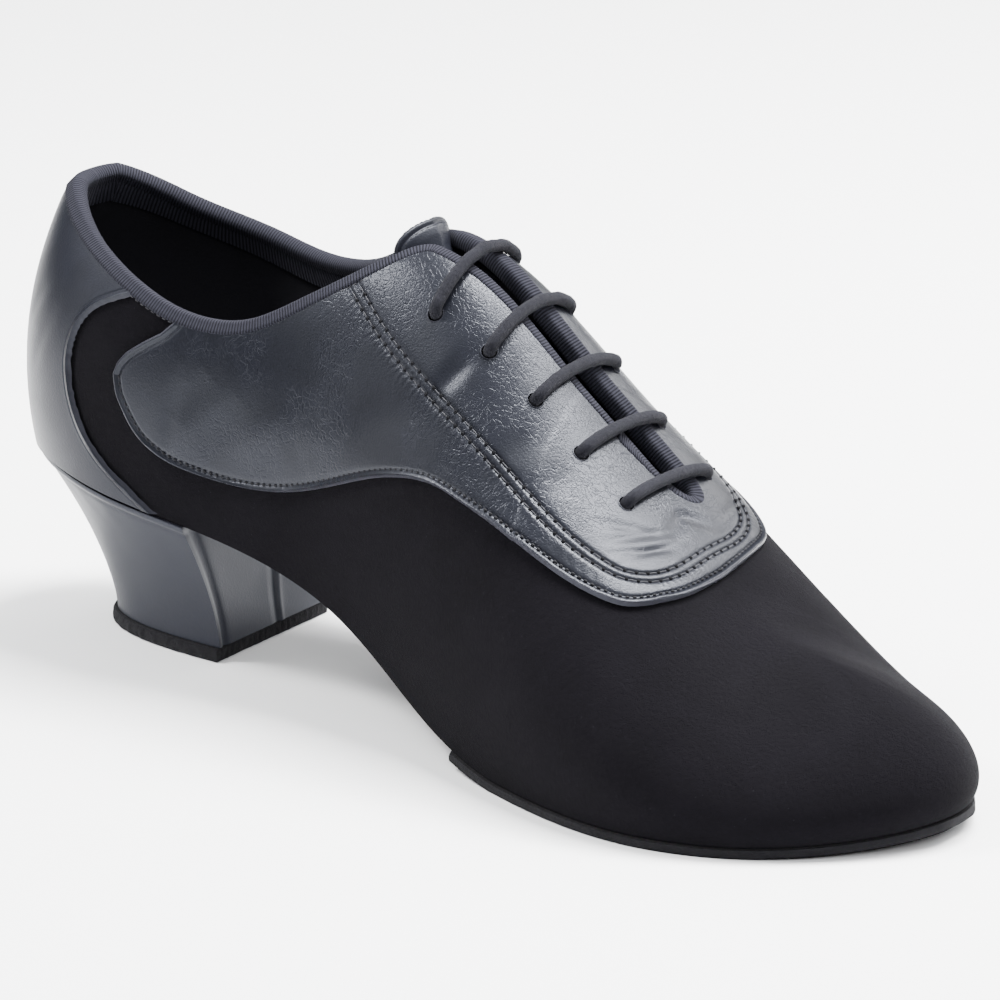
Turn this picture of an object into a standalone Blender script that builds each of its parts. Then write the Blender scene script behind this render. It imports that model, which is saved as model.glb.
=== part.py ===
"""Laced ballroom dance shoe for the left foot, standing on a covered Cuban heel.

The toe points along +X and the outer side of the foot is at +Y. The origin is on the floor, under the
middle of the heel. Every piece that follows the foot is taken from one skin, the surface of the last,
which is worked out from the named sizes and the table of sections below.
"""
import math

import bpy
import bmesh
import numpy as np

MM = 0.001

# Driving sizes of the last
LENGTH = 284 * MM            # heel curve to toe tip, measured flat
BALL_WIDTH = 99 * MM         # across the widest part of the sole
HEEL_LIFT = 44 * MM          # seat of the heel above the forepart
TOE_SPRING = 3.5 * MM        # tip of the toe above the forepart
INSTEP_HEIGHT = 99 * MM      # crown of the instep above the sole, square to the floor
SIDE_BULGE = 10 * MM         # how far the fullest side leans out over the sole's edge
RIDGE_START = 0.13           # the ridge of the instep starts and ends at these shares of the length
RIDGE_END = 0.86

# Thickness of each material
UPPER_WALL = 1.8 * MM
COVER_THICK = 1.0 * MM       # leather panels laid over the suede
BINDING_THICK = 0.9 * MM
BINDING_LEG = 3.2 * MM       # how far the ribbon comes down outside the edge
INNER_LEG = 2.0 * MM         # and inside it
TONGUE_THICK = 1.6 * MM
INSOLE_THICK = 2.0 * MM
SOLE_THICK = 2.3 * MM
TIP_THICK = 3.5 * MM
FIT_GAP = 0.3 * MM           # between two pieces that touch
COVER_GAP = 0.6 * MM         # under a panel that is laid over a curve
COUNTER_FOOT = 0.03          # the leather back starts at this share of the way up

# Throat and lacing
THROAT_GAP = 8 * MM          # between the two facings, at the middle bar
THROAT_END = 0.742           # share of the length where the throat closes
THROAT_ROUND = 0.03          # share of the length over which its end is rounded
FACING_START = 0.37          # share of the length where the collar can meet the throat
LACE_THICK = 3.2 * MM
HOLE_DIAMETER = 4.6 * MM
INNER_ROW = (-15.5 * MM, -14.0 * MM)   # row of holes beside the ridge of the foot: first and last hole
OUTER_ROW = (14.5 * MM, 18.5 * MM)
LACE_BEND = 2.0 * MM         # radius of the lace where it turns into a hole
RUN_SHIFT = 4.0 * MM         # a hidden run steps this far aside to pass a hole
BAR_STEPS = 5                # straight pieces in a bar
RUN_STEP = 4.6 * MM          # length of the straight pieces in a hidden run
RUN_GAP = 0.9 * MM           # over and under a hidden run
CUTTER_OVER = 3.0 * MM       # a hole's cutter stands this far over the skin
CUTTER_UNDER = 3.8 * MM      # and this far under it
LOOSE_END = 7 * MM           # length of each hidden end
HOLE_PLACES = (0.475, 0.529, 0.575, 0.621, 0.667)   # shares of the length, from the top bar down

# Tongue
TONGUE_WIDTH = 44 * MM
TONGUE_RISE = 9.5 * MM       # how far its free top stands up in the middle

# Bottom
SEAT_MARGIN = 12 * MM        # width of the upper turned in under the foot
WAIST_START = 0.235          # the turned-in upper closes from here to the next share of the length
WAIST_END = 0.57
SOLE_START = 0.565           # back end of the forepart sole
SOLE_BOW = 0.03              # how far its middle reaches back, as a share of the length
SOLE_MARGIN = 0.5 * MM       # sole beyond the upper's edge
INSOLE_INSET = 3.0 * MM

# Heel
HEEL_BREAST = 0.231          # front of the heel at the seat, as a share of the length
HEEL_RAKE = 1.5 * MM         # the breast leans this far forward on its way down
HEEL_MARGIN = 0.6 * MM       # cover of the heel beyond the upper's edge
HEEL_HOLLOW = 1.4 * MM       # depth of the hollow breast
HEEL_PINCH = 1.55            # 1 is a straight heel, more draws it in sooner below the seat
TIP_WIDTH = 45.4 * MM
TIP_LENGTH = 47.5 * MM
TIP_MARGIN = 1.3 * MM        # slab beyond the covered heel
TIP_SQUARE = 0.75            # 1 is an ellipse, less is squarer at the back

FLOOR_STEP = SOLE_THICK + FIT_GAP
BREAST_AHEAD = TIP_LENGTH / 2     # breast of the heel's foot, ahead of the origin
TIP_MIDDLE = HEEL_BREAST * LENGTH + HEEL_RAKE - BREAST_AHEAD

# Sections of the last, from heel to toe. station: share of LENGTH. inner, outer: half widths of the sole
# edge, and swing: its middle line, as shares of BALL_WIDTH. heel: share of HEEL_LIFT. toe: share of
# TOE_SPRING. crown: ridge above the sole edge, share of INSTEP_HEIGHT. aside: ridge beside the middle line,
# share of BALL_WIDTH. lean_in, lean_out: shares of SIDE_BULGE. wall: how upright the side is. flat: how
# flat the top is.
SECTION_NAMES = ("station", "inner", "outer", "swing", "heel", "toe", "crown", "aside",
                 "lean_in", "lean_out", "wall", "flat")
SECTIONS = (
    (0.00, 0.000, 0.000, 0.000, 0.985, 0.0, 0.810, 0.000, 0.70, 0.70, 0.62, 0.50),
    (0.06, 0.268, 0.273, 0.000, 1.010, 0.0, 0.700, 0.000, 1.00, 1.00, 0.74, 0.57),
    (0.15, 0.337, 0.352, 0.000, 0.925, 0.0, 0.705, 0.000, 0.92, 0.96, 0.80, 0.60),
    (0.27, 0.319, 0.338, 0.000, 0.795, 0.0, 0.775, 0.000, 0.70, 0.80, 0.70, 0.56),
    (0.40, 0.313, 0.328, 0.000, 0.510, 0.0, 0.932, 0.028, 0.63, 0.64, 0.54, 0.64),
    (0.53, 0.420, 0.394, -0.005, 0.115, 0.0, 0.990, 0.040, 0.66, 0.66, 0.46, 0.62),
    (0.66, 0.534, 0.465, -0.025, -0.010, 0.0, 0.770, 0.034, 0.66, 0.70, 0.52, 0.64),
    (0.78, 0.556, 0.444, -0.054, 0.000, -0.02, 0.555, 0.015, 0.63, 0.68, 0.48, 0.57),
    (0.89, 0.424, 0.345, -0.084, 0.000, 0.06, 0.380, 0.000, 0.68, 0.66, 0.46, 0.50),
    (0.96, 0.232, 0.200, -0.103, 0.000, 0.42, 0.320, 0.000, 0.84, 0.84, 0.47, 0.52),
    (1.00, 0.000, 0.000, -0.112, 0.000, 1.00, 0.290, 0.000, 0.92, 0.92, 0.47, 0.52),
)

# Top edge behind the lacing. station: share of LENGTH. inner, outer: share of the way up each side.
COLLAR_NAMES = ("station", "inner", "outer")
COLLAR = (
    (0.00, 0.535, 0.535),
    (0.06, 0.566, 0.556),
    (0.11, 0.538, 0.522),
    (0.16, 0.490, 0.487),
    (0.21, 0.455, 0.470),
    (0.25, 0.458, 0.492),
    (0.29, 0.502, 0.548),
    (0.33, 0.600, 0.645),
    (0.37, 0.712, 0.755),
    (0.41, 0.855, 0.880),
    (0.45, 1.040, 1.050),
    (0.50, 1.320, 1.320),
)

# Throat. middle: its middle beside the middle line of the foot, as a share of BALL_WIDTH. gap: share of
# THROAT_GAP.
THROAT_NAMES = ("station", "middle", "gap")
THROAT = (
    (0.00, 0.030, 1.70),
    (0.42, 0.030, 1.55),
    (0.48, 0.024, 1.15),
    (0.55, 0.024, 0.95),
    (0.61, 0.044, 1.00),
    (0.67, 0.074, 1.05),
    (0.74, 0.090, 0.95),
    (0.80, 0.088, 0.85),
    (1.00, 0.000, 0.80),
)

# Leather saddle. Shares of the way from the sole edge to the ridge. inner, outer: its lower edge on each
# side. high: its upper edge at the back, on both sides.
SADDLE_NAMES = ("station", "inner", "outer", "high")
SADDLE = (
    (0.166, 0.252, 0.252, 0.252),
    (0.169, 0.224, 0.224, 0.282),
    (0.176, 0.190, 0.190, 0.312),
    (0.190, 0.148, 0.148, 0.352),
    (0.205, 0.125, 0.125, 0.392),
    (0.219, 0.114, 0.114, 0.460),
    (0.248, 0.109, 0.109, 0.800),
    (0.290, 0.119, 0.119, 1.400),
    (0.353, 0.170, 0.170, 2.000),
    (0.401, 0.244, 0.244, 2.000),
    (0.451, 0.337, 0.337, 2.000),
    (0.487, 0.396, 0.396, 2.000),
    (0.521, 0.440, 0.440, 2.000),
    (0.556, 0.470, 0.466, 2.000),
    (0.600, 0.506, 0.494, 2.000),
    (0.650, 0.542, 0.524, 2.000),
    (0.694, 0.575, 0.562, 2.000),
    (0.726, 0.608, 0.604, 2.000),
    (0.755, 0.655, 0.662, 2.000),
    (0.781, 0.731, 0.752, 2.000),
    (0.807, 0.827, 0.856, 2.000),
    (0.828, 0.928, 0.942, 2.000),
    (0.842, 1.000, 1.000, 2.000),
)

# Leather back. up: share of the way from the sole edge to the collar. reach: share of LENGTH.
BACK_NAMES = ("up", "reach")
BACK = (
    (0.00, 0.213),
    (0.07, 0.183),
    (0.12, 0.161),
    (0.18, 0.142),
    (0.27, 0.127),
    (0.37, 0.119),
    (0.48, 0.115),
    (0.59, 0.116),
    (0.68, 0.120),
    (0.79, 0.130),
    (0.90, 0.146),
    (1.00, 0.162),
)

# Tongue, from its free top to the vamp. half: share of half its width. aside: beside the middle of the
# throat, and rise: of its middle, as shares of TONGUE_RISE. drop: share of the room for the lace.
TONGUE_NAMES = ("station", "half", "aside", "rise", "drop")
TONGUE = (
    (0.394, 0.35, -0.20, 0.88, 0.55),
    (0.397, 0.40, -0.20, 0.85, 0.55),
    (0.402, 0.44, -0.20, 0.75, 0.55),
    (0.409, 0.46, -0.18, 0.56, 0.58),
    (0.417, 0.55, -0.14, 0.30, 0.68),
    (0.429, 0.70, -0.08, 0.06, 0.88),
    (0.445, 0.87, -0.03, 0.00, 1.00),
    (0.474, 1.00, 0.00, 0.00, 1.00),
    (0.520, 1.00, 0.00, 0.00, 1.00),
    (0.570, 1.00, 0.00, 0.00, 1.00),
    (0.620, 1.00, 0.00, 0.00, 1.00),
    (0.670, 0.96, 0.00, 0.00, 1.00),
    (0.710, 0.88, 0.00, 0.00, 1.00),
    (0.745, 0.80, 0.00, 0.00, 0.70),
    (0.780, 0.70, 0.00, 0.00, 0.15),
    (0.810, 0.60, 0.00, 0.00, 0.00),
)

# How finely the curved surfaces are divided
LONG_STEPS = 42
SIDE_STEPS = 10
MARGIN_STEPS = 1
EDGE_STEPS = 240
TONGUE_COLUMNS = 9
PANEL_STEPS = 8
PANEL_STATIONS = 27
PANEL_FRONT_STATIONS = 8
COUNTER_RISES = 12
COUNTER_STATIONS = 10
HOLE_SIDES = 8
INSOLE_STATIONS = 27
SOLE_STATIONS = 23
SOLE_COLUMNS = 7
HEEL_SIDES = 17
HEEL_LEVELS = 9
HEEL_BREAST_STEPS = 5
TIP_SIDES = 25
CLIMB_POWER = 1.15            # more than 1 brings the rows closer together near the top edge
JOIN_WITHIN = 5e-6            # points closer than this are one
THROAT_END_NUDGE = 0.02       # turn by which the ribbon's direction is read ahead of the throat
CORNER_STATION = 0.42         # the collar's corner, where the stations are closer together
CORNER_DENSITY = 2.8
CORNER_WIDTH = 0.03
END_DENSITY = 3.5             # and the same at the end of the throat
END_WIDTH = 0.02


def column(rows, names, name):
    """One named column of a table."""
    return np.array([row[names.index(name)] for row in rows], float)


def station_turn(share):
    """Turn (0 heel, 1 toe) at a share of the length: the outline is walked like a half circle."""
    return np.arccos(np.clip(1 - 2 * np.asarray(share, float), -1, 1)) / math.pi


def station_share(turn):
    return (1 - np.cos(math.pi * np.asarray(turn, float))) / 2


TURN_END = float(station_turn(THROAT_END))


def spline(knots, values, at):
    """Natural cubic curve through the knots."""
    knots = np.asarray(knots, float)
    values = np.asarray(values, float)
    count = len(knots)
    step = np.diff(knots)
    matrix = np.eye(count)
    right = np.zeros(count)
    for k in range(1, count - 1):
        matrix[k, k - 1:k + 2] = step[k - 1], 2 * (step[k - 1] + step[k]), step[k]
        right[k] = 6 * ((values[k + 1] - values[k]) / step[k] - (values[k] - values[k - 1]) / step[k - 1])
    bend = np.linalg.solve(matrix, right)
    at = np.asarray(at, float)
    k = np.clip(np.searchsorted(knots, at) - 1, 0, count - 2)
    width = step[k]
    before = (knots[k + 1] - at) / width
    after = (at - knots[k]) / width
    curve = ((before ** 3 - before) * bend[k] + (after ** 3 - after) * bend[k + 1]) * width ** 2 / 6
    return before * values[k] + after * values[k + 1] + curve


def section(name, turn, mirrored=1):
    """A column of SECTIONS at any turn. It goes on past heel and toe: mirrored=-1 flips its sign there."""
    knots = station_turn(column(SECTIONS, SECTION_NAMES, "station"))
    values = column(SECTIONS, SECTION_NAMES, name)
    knots = np.concatenate([-knots[:0:-1], knots, 2 - knots[-2::-1]])
    values = np.concatenate([mirrored * values[:0:-1], values, mirrored * values[-2::-1]])
    return spline(knots, values, turn)


def sole_height(turn):
    """Height of the sole edge over the floor; the forepart has a level stretch."""
    heel = np.maximum(section("heel", turn), 0) * HEEL_LIFT
    toe = np.maximum(section("toe", turn), 0) * TOE_SPRING
    return FLOOR_STEP + heel + toe


def sole_edge(turn, side):
    """Point of the sole edge; side is -1 inside, +1 outside."""
    turn = np.asarray(turn, float)
    side = np.broadcast_to(side, turn.shape)
    half = np.where(side < 0, section("inner", turn, -1), section("outer", turn, -1)) * BALL_WIDTH
    middle = section("swing", turn) * BALL_WIDTH
    return np.stack([LENGTH * station_share(turn) - TIP_MIDDLE, middle + side * half, sole_height(turn)], -1)


def ridge_share(turn):
    return RIDGE_START + (RIDGE_END - RIDGE_START) * station_share(turn)


def middle_line(turn):
    """Middle line of the foot in plan, below the ridge."""
    return section("swing", station_turn(ridge_share(turn))) * BALL_WIDTH


def ridge(turn):
    """Point of the ridge along the top of the foot."""
    aside = middle_line(turn) + section("aside", turn) * BALL_WIDTH
    height = sole_height(turn) + section("crown", turn) * INSTEP_HEIGHT
    return np.stack([LENGTH * ridge_share(turn) - TIP_MIDDLE, aside, height], -1)


def skin(turn, across):
    """Point of the last's skin. across runs from the inner sole edge (0) over the ridge (1) to the outer
    sole edge (2). Each side is one cubic curve from the edge to the ridge."""
    turn, across = np.broadcast_arrays(np.asarray(turn, float), np.asarray(across, float))
    inside = across <= 1
    side = np.where(inside, -1.0, 1.0)
    up = np.where(inside, across, 2 - across)[..., None]
    foot = sole_edge(turn, side)
    top = ridge(turn)
    flat_way = (foot - top) * (1, 1, 0)
    reach = np.linalg.norm(flat_way, axis=-1, keepdims=True)
    out = flat_way / np.maximum(reach, 1e-9)
    lean = np.where(inside, section("lean_in", turn), section("lean_out", turn))[..., None] * SIDE_BULGE
    rise = (top - foot)[..., 2:]
    steady = np.clip(turn, 0.06, 0.94)
    ahead, behind = ridge(steady + 0.001), ridge(steady - 0.001)
    slope = ((ahead - behind)[..., 2] / (ahead - behind)[..., 0])[..., None]
    upward = np.array((0.0, 0.0, 1.0))
    wall = section("wall", turn)[..., None]
    flat = section("flat", turn)[..., None] * reach
    second = foot + out * lean + upward * rise * wall
    third = top + out * flat + upward * slope * out[..., :1] * flat
    down = 1 - up
    return down ** 3 * foot + 3 * down ** 2 * up * second + 3 * down * up ** 2 * third + up ** 3 * top


def skin_slopes(turn, across):
    """How the skin moves with turn and with across."""
    turn, across = np.broadcast_arrays(np.asarray(turn, float), np.asarray(across, float))
    small = 0.002
    along = (skin(turn + small, across) - skin(turn - small, across)) / (2 * small)
    steady = np.where(across <= 1, np.minimum(across, 1 - small), np.maximum(across, 1 + small))
    rising = (skin(turn, steady + small) - skin(turn, steady - small)) / (2 * small)
    return along, rising


def skin_normal(turn, across):
    """Outward normal of the skin."""
    along, rising = skin_slopes(turn, across)
    normal = np.cross(along, rising)
    return normal / np.maximum(np.linalg.norm(normal, axis=-1, keepdims=True), 1e-12)


def off_skin(turn, across, height):
    """Point at a height over the skin (below it where the height is negative)."""
    height = np.asarray(height, float)
    return skin(turn, across) + skin_normal(turn, across) * height[..., None]


def skin_below(x, y):
    """Turn and across of the skin's point at a place in plan, near the top of the foot."""
    x, y = np.broadcast_arrays(np.asarray(x, float), np.asarray(y, float))
    share = (x + TIP_MIDDLE) / LENGTH
    turn = station_turn((share - RIDGE_START) / (RIDGE_END - RIDGE_START))
    across = np.ones(turn.shape)
    for _ in range(12):
        miss = np.stack([x, y], -1) - skin(turn, across)[..., :2]
        along, rising = skin_slopes(turn, across)
        area = along[..., 0] * rising[..., 1] - along[..., 1] * rising[..., 0]
        turn = turn + (miss[..., 0] * rising[..., 1] - miss[..., 1] * rising[..., 0]) / area
        across = across + (along[..., 0] * miss[..., 1] - along[..., 1] * miss[..., 0]) / area
    return turn, across


def throat_column(name, turn):
    stations = station_turn(column(THROAT, THROAT_NAMES, "station"))
    return spline(stations, column(THROAT, THROAT_NAMES, name), turn)


def beside_throat(turn, distance):
    """How far across the skin a point lies that is this far beside the middle of the throat."""
    turn, distance = np.broadcast_arrays(np.asarray(turn, float), np.asarray(distance, float))
    wanted = middle_line(turn) + throat_column("middle", turn) * BALL_WIDTH + distance
    low, high = np.full(turn.shape, 0.25), np.full(turn.shape, 1.75)
    for _ in range(26):
        middle = (low + high) / 2
        right = skin(turn, middle)[..., 1] > wanted
        high = np.where(right, middle, high)
        low = np.where(right, low, middle)
    return (low + high) / 2


def throat_line(turn):
    """How far across the skin the middle of the throat lies; ahead of it, it comes back to the ridge."""
    turn = np.asarray(turn, float)
    front = float(station_turn(SADDLE[-1][0]))
    ahead = np.clip((front - turn) / (front - TURN_END), 0, 1)
    on_throat = beside_throat(np.minimum(turn, TURN_END), 0.0)
    return 1 + (on_throat - 1) * ahead * ahead * (3 - 2 * ahead)


def half_gap(turn):
    """Half the opening between the facings, closing in a round end."""
    late = np.clip((station_share(turn) - THROAT_END + THROAT_ROUND) / THROAT_ROUND, 0, 1)
    return throat_column("gap", turn) * THROAT_GAP / 2 * np.sqrt(1 - late ** 2)


def soft_least(first, second, blend=0.05):
    """The smaller of two values, with a rounded change from one to the other."""
    near = np.maximum(blend - np.abs(first - second), 0) / blend
    return np.minimum(first, second) - near ** 2 * blend / 4


def top_edge(turn, side):
    """How far across the skin the top edge of the upper lies, on one side."""
    name = "inner" if side < 0 else "outer"
    stations = station_turn(column(COLLAR, COLLAR_NAMES, "station"))
    values = column(COLLAR, COLLAR_NAMES, name)
    knots = np.concatenate([-stations[:0:-1], stations])
    collar = spline(knots, np.concatenate([values[:0:-1], values]), np.minimum(turn, stations[-1]))
    beyond = turn >= TURN_END
    throat = np.where(beyond, throat_line(turn), beside_throat(turn, side * half_gap(turn)))
    throat = np.where(station_share(turn) < FACING_START, 1, throat)
    if side < 0:
        return soft_least(collar, throat)
    return 2 - soft_least(collar, 2 - throat)


def edge_inset(side, distance):
    """Curve on the skin at a distance below the top edge: turns and how far across."""
    turn = TURN_END * np.sin(np.linspace(0, math.pi / 2, EDGE_STEPS))
    across = top_edge(turn, side)
    point = skin(turn, across)
    way = np.gradient(point, axis=0)
    way[0] = (0, side, 0)
    way[-1] = (0, -side, 0)
    way /= np.linalg.norm(way, axis=-1, keepdims=True)
    into = np.cross(way, skin_normal(turn, across)) * side
    along, rising = skin_slopes(turn, across)
    moved = np.empty((EDGE_STEPS, 2))
    for k in range(EDGE_STEPS):
        slopes = np.stack([along[k], rising[k]], 1)
        moved[k] = np.linalg.lstsq(slopes, -into[k] * distance, rcond=None)[0]
    return turn + moved[:, 0], across + moved[:, 1]


def inset_height(side, distance):
    """The inset curve as a function of turn, and the turn where it closes ahead of the throat."""
    turns, heights = edge_inset(side, distance)
    order = np.argsort(turns)
    return turns[order], heights[order], float(turns.max())


def even_turns(first, last, count):
    """Turns between two ends, closer together near both."""
    return first + (last - first) * station_share(np.linspace(0, 1, count))


def new_object(name, mesh, collection, material=None):
    """An object in a collection."""
    thing = bpy.data.objects.new(name, mesh)
    collection.objects.link(thing)
    if material:
        mesh.materials.append(material)
    return thing


def mesh_from_grids(name, grids):
    """One mesh from grids of points; each is (points, flipped), and equal points are joined."""
    work = bmesh.new()
    for points, flipped in grids:
        rows, columns = points.shape[:2]
        corners = [[work.verts.new(points[i, j]) for j in range(columns)] for i in range(rows)]
        for i in range(rows - 1):
            for j in range(columns - 1):
                face = [corners[i][j], corners[i + 1][j], corners[i + 1][j + 1], corners[i][j + 1]]
                work.faces.new(face[::-1] if flipped else face)
    bmesh.ops.remove_doubles(work, verts=work.verts[:], dist=JOIN_WITHIN)
    loose = [vertex for vertex in work.verts if not vertex.link_faces]
    bmesh.ops.delete(work, geom=loose, context="VERTS")
    mesh = bpy.data.meshes.new(name)
    work.to_mesh(mesh)
    work.free()
    return mesh


def thicken(thing, thickness):
    """Gives a sheet its wall, away from the side that its faces look to."""
    wall = thing.modifiers.new("wall", "SOLIDIFY")
    wall.thickness = thickness
    wall.offset = -1
    wall.use_even_offset = True
    wall.use_quality_normals = True


def smooth(thing, angle=40):
    thing.data.shade_smooth()
    thing.data.set_sharp_from_angle(angle=math.radians(angle))


def new_material(name, colour, roughness, metallic=0.0):
    material = bpy.data.materials.new(name)
    material.use_nodes = True
    shader = material.node_tree.nodes["Principled BSDF"]
    shader.inputs["Base Color"].default_value = (*colour, 1)
    shader.inputs["Roughness"].default_value = roughness
    shader.inputs["Metallic"].default_value = metallic
    return material


def climb(row, rows):
    """Share of the way up at which a row lies; rows are closer together near the top."""
    return 1 - (1 - row / rows) ** CLIMB_POWER


def upper_turns():
    """Stations of the upper: even ones, and closer ones at the corner and the end of the throat."""
    fine = np.linspace(0, 1, 2001)
    corner = float(station_turn(CORNER_STATION))
    density = 1 + CORNER_DENSITY * np.exp(-((fine - corner) / CORNER_WIDTH) ** 2)
    density = density + END_DENSITY * np.exp(-((fine - TURN_END) / END_WIDTH) ** 2)
    walked = np.concatenate([[0], np.cumsum((density[1:] + density[:-1]) / 2)])
    turns = np.interp(np.linspace(0, walked[-1], LONG_STEPS + 1), walked, fine)
    turns[np.argmin(np.abs(turns - TURN_END))] = TURN_END
    return turns


def underside_opening(turn):
    """Half the opening left between the margins that are turned in under the foot."""
    share = station_share(turn)
    half = (section("inner", turn, -1) + section("outer", turn, -1)) / 2 * BALL_WIDTH - SEAT_MARGIN
    ends = np.minimum((WAIST_START - share) / WAIST_START, 1)
    fore = (share - WAIST_END) / (1 - WAIST_END)
    open_share = np.clip(np.maximum(ends, fore) * 8, 0, 1)
    return np.maximum(half, 0) * np.sqrt(open_share * (2 - open_share))


def build_upper(collection, material, holes):
    """One hollow shell: margin under the foot, side, and top edge, on both sides."""
    turns = upper_turns()
    grids = []
    for side in (-1, 1):
        edge = sole_edge(turns, side)
        middle = (sole_edge(turns, -1) + sole_edge(turns, 1)) / 2
        inner = middle + (0, side, 0) * underside_opening(turns)[:, None]
        blunt = inner[:, 0] > edge[-1, 0] - 2 * UPPER_WALL
        inner[blunt] = inner[~blunt][-1]
        rows = [inner + (edge - inner) * k / MARGIN_STEPS for k in range(MARGIN_STEPS)]
        tops = top_edge(turns, side)
        for k in range(SIDE_STEPS + 1):
            part = climb(k, SIDE_STEPS)
            across = tops * part if side < 0 else 2 - (2 - tops) * part
            rows.append(skin(turns, across))
        grids.append((np.stack(rows, 1), side > 0))
    upper = new_object("upper", mesh_from_grids("upper", grids), collection, material)
    thicken(upper, UPPER_WALL)
    punch(upper, holes)
    smooth(upper)
    return upper


def punch(thing, holes):
    cut = thing.modifiers.new("holes", "BOOLEAN")
    cut.operation = "DIFFERENCE"
    cut.object = holes


def cover_grid(turn, across):
    """Outer face of a panel that lies over the upper."""
    return off_skin(turn, across, np.full(np.shape(turn), COVER_GAP + COVER_THICK))


def build_quarter_panel(collection, material, holes):
    """Leather saddle: both quarters and the front of the throat, in one piece."""
    below = BINDING_LEG + FIT_GAP * 2
    first = float(station_turn(SADDLE[0][0]))
    last = float(station_turn(SADDLE[-1][0]))
    closes = max(inset_height(side, below)[2] for side in (-1, 1))
    turns = np.concatenate([even_turns(first, closes, PANEL_STATIONS),
                            even_turns(closes, last, PANEL_FRONT_STATIONS)[1:]])
    centre = throat_line(turns)
    grids = []
    for side in (-1, 1):
        known, heights, _ = inset_height(side, below)
        edge = np.interp(turns, known, heights)
        edge = np.where(turns >= closes - 1e-9, centre, edge)
        knots = station_turn(column(SADDLE, SADDLE_NAMES, "station"))
        low = spline(knots, column(SADDLE, SADDLE_NAMES, "inner" if side < 0 else "outer"), turns)
        high = np.interp(turns, knots, column(SADDLE, SADDLE_NAMES, "high"))
        edge = edge if side < 0 else 2 - edge
        top = np.minimum(edge, high)
        bottom = np.minimum(low, top)
        rows = []
        for k in range(PANEL_STEPS + 1):
            up = bottom + (top - bottom) * climb(k, PANEL_STEPS)
            rows.append(cover_grid(turns, up if side < 0 else 2 - up))
        grids.append((np.stack(rows, 1), side > 0))
    panel = new_object("quarter_panel", mesh_from_grids("quarter_panel", grids), collection, material)
    thicken(panel, COVER_THICK)
    punch(panel, holes)
    smooth(panel)
    return panel


def build_counter_panel(collection, material):
    """Leather back of the heel, waisted on each side."""
    below = BINDING_LEG + FIT_GAP * 2
    ups = np.linspace(COUNTER_FOOT, 1, COUNTER_RISES)
    reach = station_turn(spline(column(BACK, BACK_NAMES, "up"), column(BACK, BACK_NAMES, "reach"), ups))
    grids = []
    for side in (-1, 1):
        known, heights, _ = inset_height(side, below)
        turn = np.linspace(0, 1, COUNTER_STATIONS)[:, None] * reach[None, :]
        top = np.interp(turn, known, heights)
        top = top if side < 0 else 2 - top
        up = ups[None, :] * top
        grids.append((cover_grid(turn, up if side < 0 else 2 - up), side > 0))
    panel = new_object("counter_panel", mesh_from_grids("counter_panel", grids), collection, material)
    thicken(panel, COVER_THICK)
    smooth(panel)
    return panel


def build_binding(collection, material):
    """Ribbon folded over the top edge: a U-shaped section carried round the collar and the throat."""
    turns = upper_turns()
    turns = turns[turns <= TURN_END + 1e-9]
    inner, outer = top_edge(turns, -1), top_edge(turns, 1)
    loop_turn = np.concatenate([turns, turns[-2:0:-1]])
    loop_across = np.concatenate([inner, outer[-2:0:-1]])
    below = climb(SIDE_STEPS - 1, SIDE_STEPS)
    lower = np.concatenate([inner * below, 2 - (2 - outer[-2:0:-1]) * below])
    lower[len(turns) - 1] = loop_across[len(turns) - 1]
    lower_turn = loop_turn.copy()
    lower_turn[len(turns) - 1] += THROAT_END_NUDGE
    point = skin(loop_turn, loop_across)
    way = np.roll(point, -1, axis=0) - np.roll(point, 1, axis=0)
    way /= np.linalg.norm(way, axis=-1, keepdims=True)
    down = skin(lower_turn, lower) - point
    down -= way * np.sum(down * way, axis=-1, keepdims=True)
    down /= np.linalg.norm(down, axis=-1, keepdims=True)
    normal = np.cross(down, way)
    normal *= np.sign(np.sum(normal * skin_normal(loop_turn, loop_across), axis=-1, keepdims=True))
    lift = FIT_GAP + BINDING_THICK
    under = UPPER_WALL + 2 * FIT_GAP
    section_points = (
        (BINDING_LEG, FIT_GAP), (BINDING_LEG, lift), (0.0, lift),
        (-lift * 0.8, lift * 0.3 - UPPER_WALL * 0.15), (-lift * 0.8, -UPPER_WALL * 0.85 - lift * 0.3),
        (0.0, -under - BINDING_THICK), (INNER_LEG, -under - BINDING_THICK), (INNER_LEG, -under),
        (-FIT_GAP, -under), (-FIT_GAP, FIT_GAP),
    )
    rows = [point + down * low + normal * high for low, high in section_points]
    grid = np.stack(rows + rows[:1], 1)
    grid = np.concatenate([grid, grid[:1]], 0)
    mesh = mesh_from_grids("topline_binding", [(grid, False)])
    outward(mesh)
    binding = new_object("topline_binding", mesh, collection, material)
    smooth(binding, 60)
    return binding


def outward(mesh):
    """Turns all faces of a closed mesh outward."""
    work = bmesh.new()
    work.from_mesh(mesh)
    bmesh.ops.recalc_face_normals(work, faces=work.faces[:])
    work.to_mesh(mesh)
    work.free()


def run_depth():
    """Middle of a lace that lies against the inside of the upper."""
    return UPPER_WALL + RUN_GAP + LACE_THICK / 2


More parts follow.
